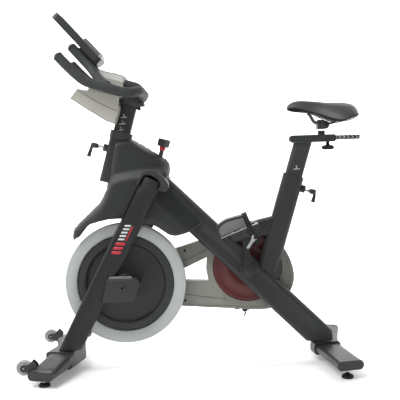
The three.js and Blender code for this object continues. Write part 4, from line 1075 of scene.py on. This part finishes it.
def knob_head():
    side = Vector((0, 1, 0))
    other = AXIS.cross(side)
    rings = []
    for h, r in ((-13.2, 14.2), (-12.4, 15.8), (-10.6, 16.6), (0, 17), (10, 17.2), (12.6, 16.8),
                 (14, 15.4), (14.5, 12.5)):
        ring = []
        for k in range(64):
            a = 2 * math.pi * k / 64
            # rounded square block, turned so that two of its flats show from the side
            c, s = math.cos(a), math.sin(a)
            q = (abs(c) ** 7 + abs(s) ** 7) ** (-1 / 7)
            u, v = math.cos(a + 0.98), math.sin(a + 0.98)
            ring.append(KNOB + AXIS * h / 1000 + (side * u + other * v) * q * r / 1000)
        rings.append(ring)
    loft(
        "resistance_knob_head", rings, PLASTIC, "resistance_knob_unit", replaces=["resistance_knob"],
        slot="black_rubber", bevel=0.0006, angle=45)
    lathe(
        "resistance_knob_collar", [(4.6, -28), (7.5, -27.6), (9.8, -25), (11, -21), (11.4, -17),
            (10.6, -13.4), (4.6, -13.4), (4.6, -28)], KNOB, AXIS, RED, "resistance_knob_unit", 40)


knob_head()
lathe(
    "slide_knob_grip", [(0, -16), (13, -16), (18, -15), (21, -12.5), (22, -8.5), (21, -4), (18, -1.5),
        (9.4, 0), (6, 2.4), (6, 17.8), (0, 17.8)], Vector(JOINTS["slide_knob_turn"]["pos_m"]), (0, 0, 1),
    RUBBER, "slide_knob", 40, replaces=["seat_slide_knob"])
for end in ("front", "rear"):
    for name in ("left", "right"):
        lo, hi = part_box(f"{end}_foot_{name}")
        c = Vector(((lo.x + hi.x) / 2, (lo.y + hi.y) / 2, 0))
        top = hi.z * 1000
        lathe(
            f"{end}_foot_{name}_pad", [(0, 0), (18, 0), (19.4, 1.2), (20, 4), (19.4, 7), (17, 10),
                (13, 12.4), (8, 14), (7, 15.5), (0, 15.5)], c, (0, 0, 1), RUBBER,
            f"{end}_foot_unit_{name}", 48, replaces=[f"{end}_foot_{name}"])
        lathe(
            f"{end}_foot_{name}_nut", [(5, top - 9), (11, top - 9), (11, top - 4), (5, top - 4),
                (5, top - 9)], c, (0, 0, 1), STEEL, f"{end}_foot_unit_{name}", 6, bevel=0.0006)
        lathe(
            f"{end}_foot_{name}_stem", [(0, 15), (5, 15), (5, top), (0, top)], c, (0, 0, 1), STEEL,
            f"{end}_foot_unit_{name}", 24)
for name in ("left", "right"):
    p = Vector(JOINTS[f"transport_wheel_{name}_spin"]["pos_m"])
    w, r = 9.0, 26.5
    lathe(f"transport_wheel_{name}_tread", [
        (4.4, -w + 1), (9, -w), (11, -w + 0.8), (12, -w + 3), (18, -w + 3), (19, -w + 0.6), (21, -w),
        (r - 1.8, -w), (r - 0.4, -w + 0.8), (r, -w + 2.4), (r, w - 2.4), (r - 0.4, w - 0.8),
        (r - 1.8, w), (21, w), (19, w - 0.6), (18, w - 3), (12, w - 3), (11, w - 0.8), (9, w),
        (4.4, w - 1), (4.4, -w + 1)], p, (0, 1, 0), WHEEL, f"transport_wheel_unit_{name}", 64,
        replaces=[f"transport_wheel_{name}"])

for side, name in SIDES:
    p = JOINTS[f"transport_wheel_{name}_spin"]["pos_m"]
    middle = abs(p[1]) * 1000
    fork = rounded(
        [(-567, 53), (-567, 67), (-557, 72), (-541, 69), (-525, 86), (-509, 68), (-516, 51), (-546, 48),
            (-560, 48)], 6, 4)
    for k, (y0, y1) in enumerate(((middle + 11, middle + 15.5), (middle - 15.5, middle - 11))):
        prism(
            f"wheel_fork_{name}_{k}", fork, side * y0, side * y1, DARK, "frame", slot="frame_coat",
            bevel=0.001)
        outer = max(y0, y1) if k == 0 else min(y0, y1)
        way = side if k == 0 else -side
        lathe(
            f"wheel_bolt_{name}_{k}", [(0, 1.6), (1.8, 1.6), (2.6, 1.0), (2.6, -0.5), (0, -0.5)],
            Vector((p[0], side * outer / 1000, p[2])), (0, way, 0), STEEL, "frame", 20, slot="frame_coat")

# ------------------------------------------------------------------ console
SLOPE = math.radians(48.8)


def tilted(along, y, up):
    """Holder coordinates: along its slope, across, and up from its middle plane."""
    return V(
        -362 + along * math.cos(SLOPE) + up * math.sin(SLOPE), y,
        1168.5 - along * math.sin(SLOPE) + up * math.cos(SLOPE))


def slab(name, outline, y0, y1, mat, body, **kw):
    prism(name, outline, y0, y1, mat, body, tilted, **kw)


slab(
    "console_body", rounded([(18, -7), (92, -7), (92, 24.6), (20, 24.6), (18, 22)], 1.6, 3), -44, 44,
    GREY, "tablet_unit", replaces=["console"], slot="black_rubber", bevel=0.0012)
slab(
    "console_seam", [(92, -7), (94, -7), (94, 22.6), (92, 22.6)], -43, 43, BLACK, "tablet_unit",
    slot="black_rubber")
slab(
    "console_end", rounded([(94, -7), (107, -7), (107, 22), (105, 24.4), (94, 24.4)], 1.5, 3), -44, 44,
    CLEAR, "tablet_unit", bevel=0.0012)
slab(
    "console_screen", [(30, 24.7), (84, 24.7), (84, 25.2), (30, 25.2)], -34, 34, SCREEN, "tablet_unit",
    bevel=0.0002)
for k in range(3):
    at = tilted(88.5, -16 + 16 * k, 24.6)
    lathe(
        f"console_button_{k}", [(0, -0.5), (3.4, -0.5), (3.4, 0.8), (2.6, 1.3), (0, 1.4)], at,
        tilted(0, 0, 1) - tilted(0, 0, 0), RUBBER, "tablet_unit", 24)

# dark slab under the holder: a support that also paints the shadow line between the holder and the aero
# bars
slab(
    "tablet_spine_shadow", rounded([(24, -12), (112, -12), (108, -22), (34, -22)], 3, 3), -26, 26, DARK,
    "tablet_unit", slot="black_rubber", bevel=0.0015)

# tray seams, lip, band and clip on both sides
TRAY_SIDE, LIP_SIDE = 104, 31


def tray_line(name, points, y, mat, r):
    for side, hand in SIDES:
        tube(f"{name}_{hand}", [V(x, side * y, z) for x, z in points], r, mat, "handlebar_unit", 3, 8,
             round_ends=False, slot="tray_grey")


tray_line(
    "tray_seam", [(-356, 985), (-330, 968), (-290, 942), (-250, 921), (-226, 910)], TRAY_SIDE, SHADED_COVER,
    0.0011)
tray_line(
    "tray_front_edge", [(-357, 989), (-369, 974), (-381, 957.5), (-370, 950), (-330, 922), (-290, 896),
        (-258, 875)], TRAY_SIDE, SHADED_COVER, 0.0011)
tray_line(
    "tray_lip", [(-290, 1059.4), (-250, 1047.5), (-203.5, 1033.6), (-206, 1016), (-209, 994)], LIP_SIDE,
    CLEAR, 0.0016)

for side, name in SIDES:
    prism(
        f"tray_band_{name}", [(-288, 1058), (-206, 1033), (-209, 1013), (-294, 1039)],
        side * (LIP_SIDE + 0.05), side * (LIP_SIDE + 0.6), PALE, "handlebar_unit", bevel=0.0002)
    clip = rounded([(-239.5, 1043), (-231.5, 1040.6), (-231.5, 1045), (-239.5, 1047.4)], 1, 2)
    prism(
        f"tray_clip_{name}", clip, side * (LIP_SIDE + 0.5), side * (LIP_SIDE + 1.1), DARK,
        "handlebar_unit", slot="tray_grey")

# ------------------------------------------------------------------ stage, light, camera
def stage():
    verts, faces = [], []
    profile = [(-6.0, 0.0), (3.2, 0.0), (3.9, 0.08), (4.5, 0.35), (4.9, 0.9), (5.0, 1.6), (5.0, 6.0)]
    for y, z in profile:
        verts += [(-9, y, z - 0.0005), (9, y, z - 0.0005)]
    for k in range(len(profile) - 1):
        faces.append((2 * k, 2 * k + 1, 2 * k + 3, 2 * k + 2))
    mesh = bpy.data.meshes.new("studio_sweep")
    mesh.from_pydata(verts, [], faces)
    obj = bpy.data.objects.new("studio_sweep", mesh)
    bpy.context.scene.collection.objects.link(obj)
    for face in mesh.polygons:
        face.use_smooth = True
    n = Nodes("studio_paper")
    n.bsdf.inputs["Roughness"].default_value = 0.9
    n.link(
        n.ramp(n.noise(3, 2), [(0.3, (0.90, 0.90, 0.90, 1)), (0.7, (0.93, 0.93, 0.93, 1))]),
        n.bsdf.inputs["Base Color"])
    n.bsdf.inputs["Emission Color"].default_value = (1, 1, 1, 1)
    n.bsdf.inputs["Emission Strength"].default_value = 0.16
    mesh.materials.append(n.mat)


stage()


def area(name, at, target, size, power):
    data = bpy.data.lights.new(name, "AREA")
    data.shape = "RECTANGLE"
    data.size, data.size_y = size
    data.energy = power
    obj = bpy.data.objects.new(name, data)
    obj.location = at
    obj.rotation_euler = (Vector(target) - Vector(at)).to_track_quat("-Z", "Y").to_euler()
    bpy.context.scene.collection.objects.link(obj)


area("key_above", (-1.6, -1.5, 3.3), (0, 0, 0.5), (2.2, 1.6), 95)
area("fill_front", (-1.2, -4.4, 1.5), (0, 0, 0.6), (2.4, 2.0), 9)
area("rim_left", (-3.2, 0.6, 2.2), (0, 0, 0.7), (1.2, 2.2), 26)
area("rim_right", (3.2, 1.2, 2.2), (0, 0, 0.7), (1.2, 2.2), 20)
area("paper_wash", (0, 1.6, 3.4), (0, 4.6, 0.9), (5.0, 1.0), 260)
area("paper_low", (0, 0.9, 2.6), (0, 2.6, 0.0), (5.0, 1.0), 30)
world = bpy.data.worlds.new("studio")
bpy.context.scene.world = world
world.use_nodes = True
world.node_tree.nodes["Background"].inputs["Color"].default_value = (1, 1, 1, 1)
world.node_tree.nodes["Background"].inputs["Strength"].default_value = 0.36
bpy.context.scene.view_settings.view_transform = "Standard"


EYE = (0.06975, -2.7, 0.7674)
YAW, PITCH, ROLL = 0.86, 3.78, 1.9


def camera():
    yaw, pitch, roll = (math.radians(a) for a in (YAW, PITCH, ROLL))
    forward = Vector((-math.sin(yaw) * math.cos(pitch), math.cos(yaw) * math.cos(pitch), -math.sin(pitch)))
    right = forward.cross(Vector((0, 0, 1))).normalized()
    up = right.cross(forward)
    side = right * math.cos(roll) - up * math.sin(roll)
    top = right * math.sin(roll) + up * math.cos(roll)
    data = bpy.data.cameras.new("studio_camera")
    data.lens = 68.04
    data.sensor_width = 36
    obj = bpy.data.objects.new("studio_camera", data)
    obj.matrix_world = Matrix.Translation(EYE) @ Matrix((side, top, -forward)).transposed().to_4x4()
    bpy.context.scene.collection.objects.link(obj)
    bpy.context.scene.camera = obj


camera()
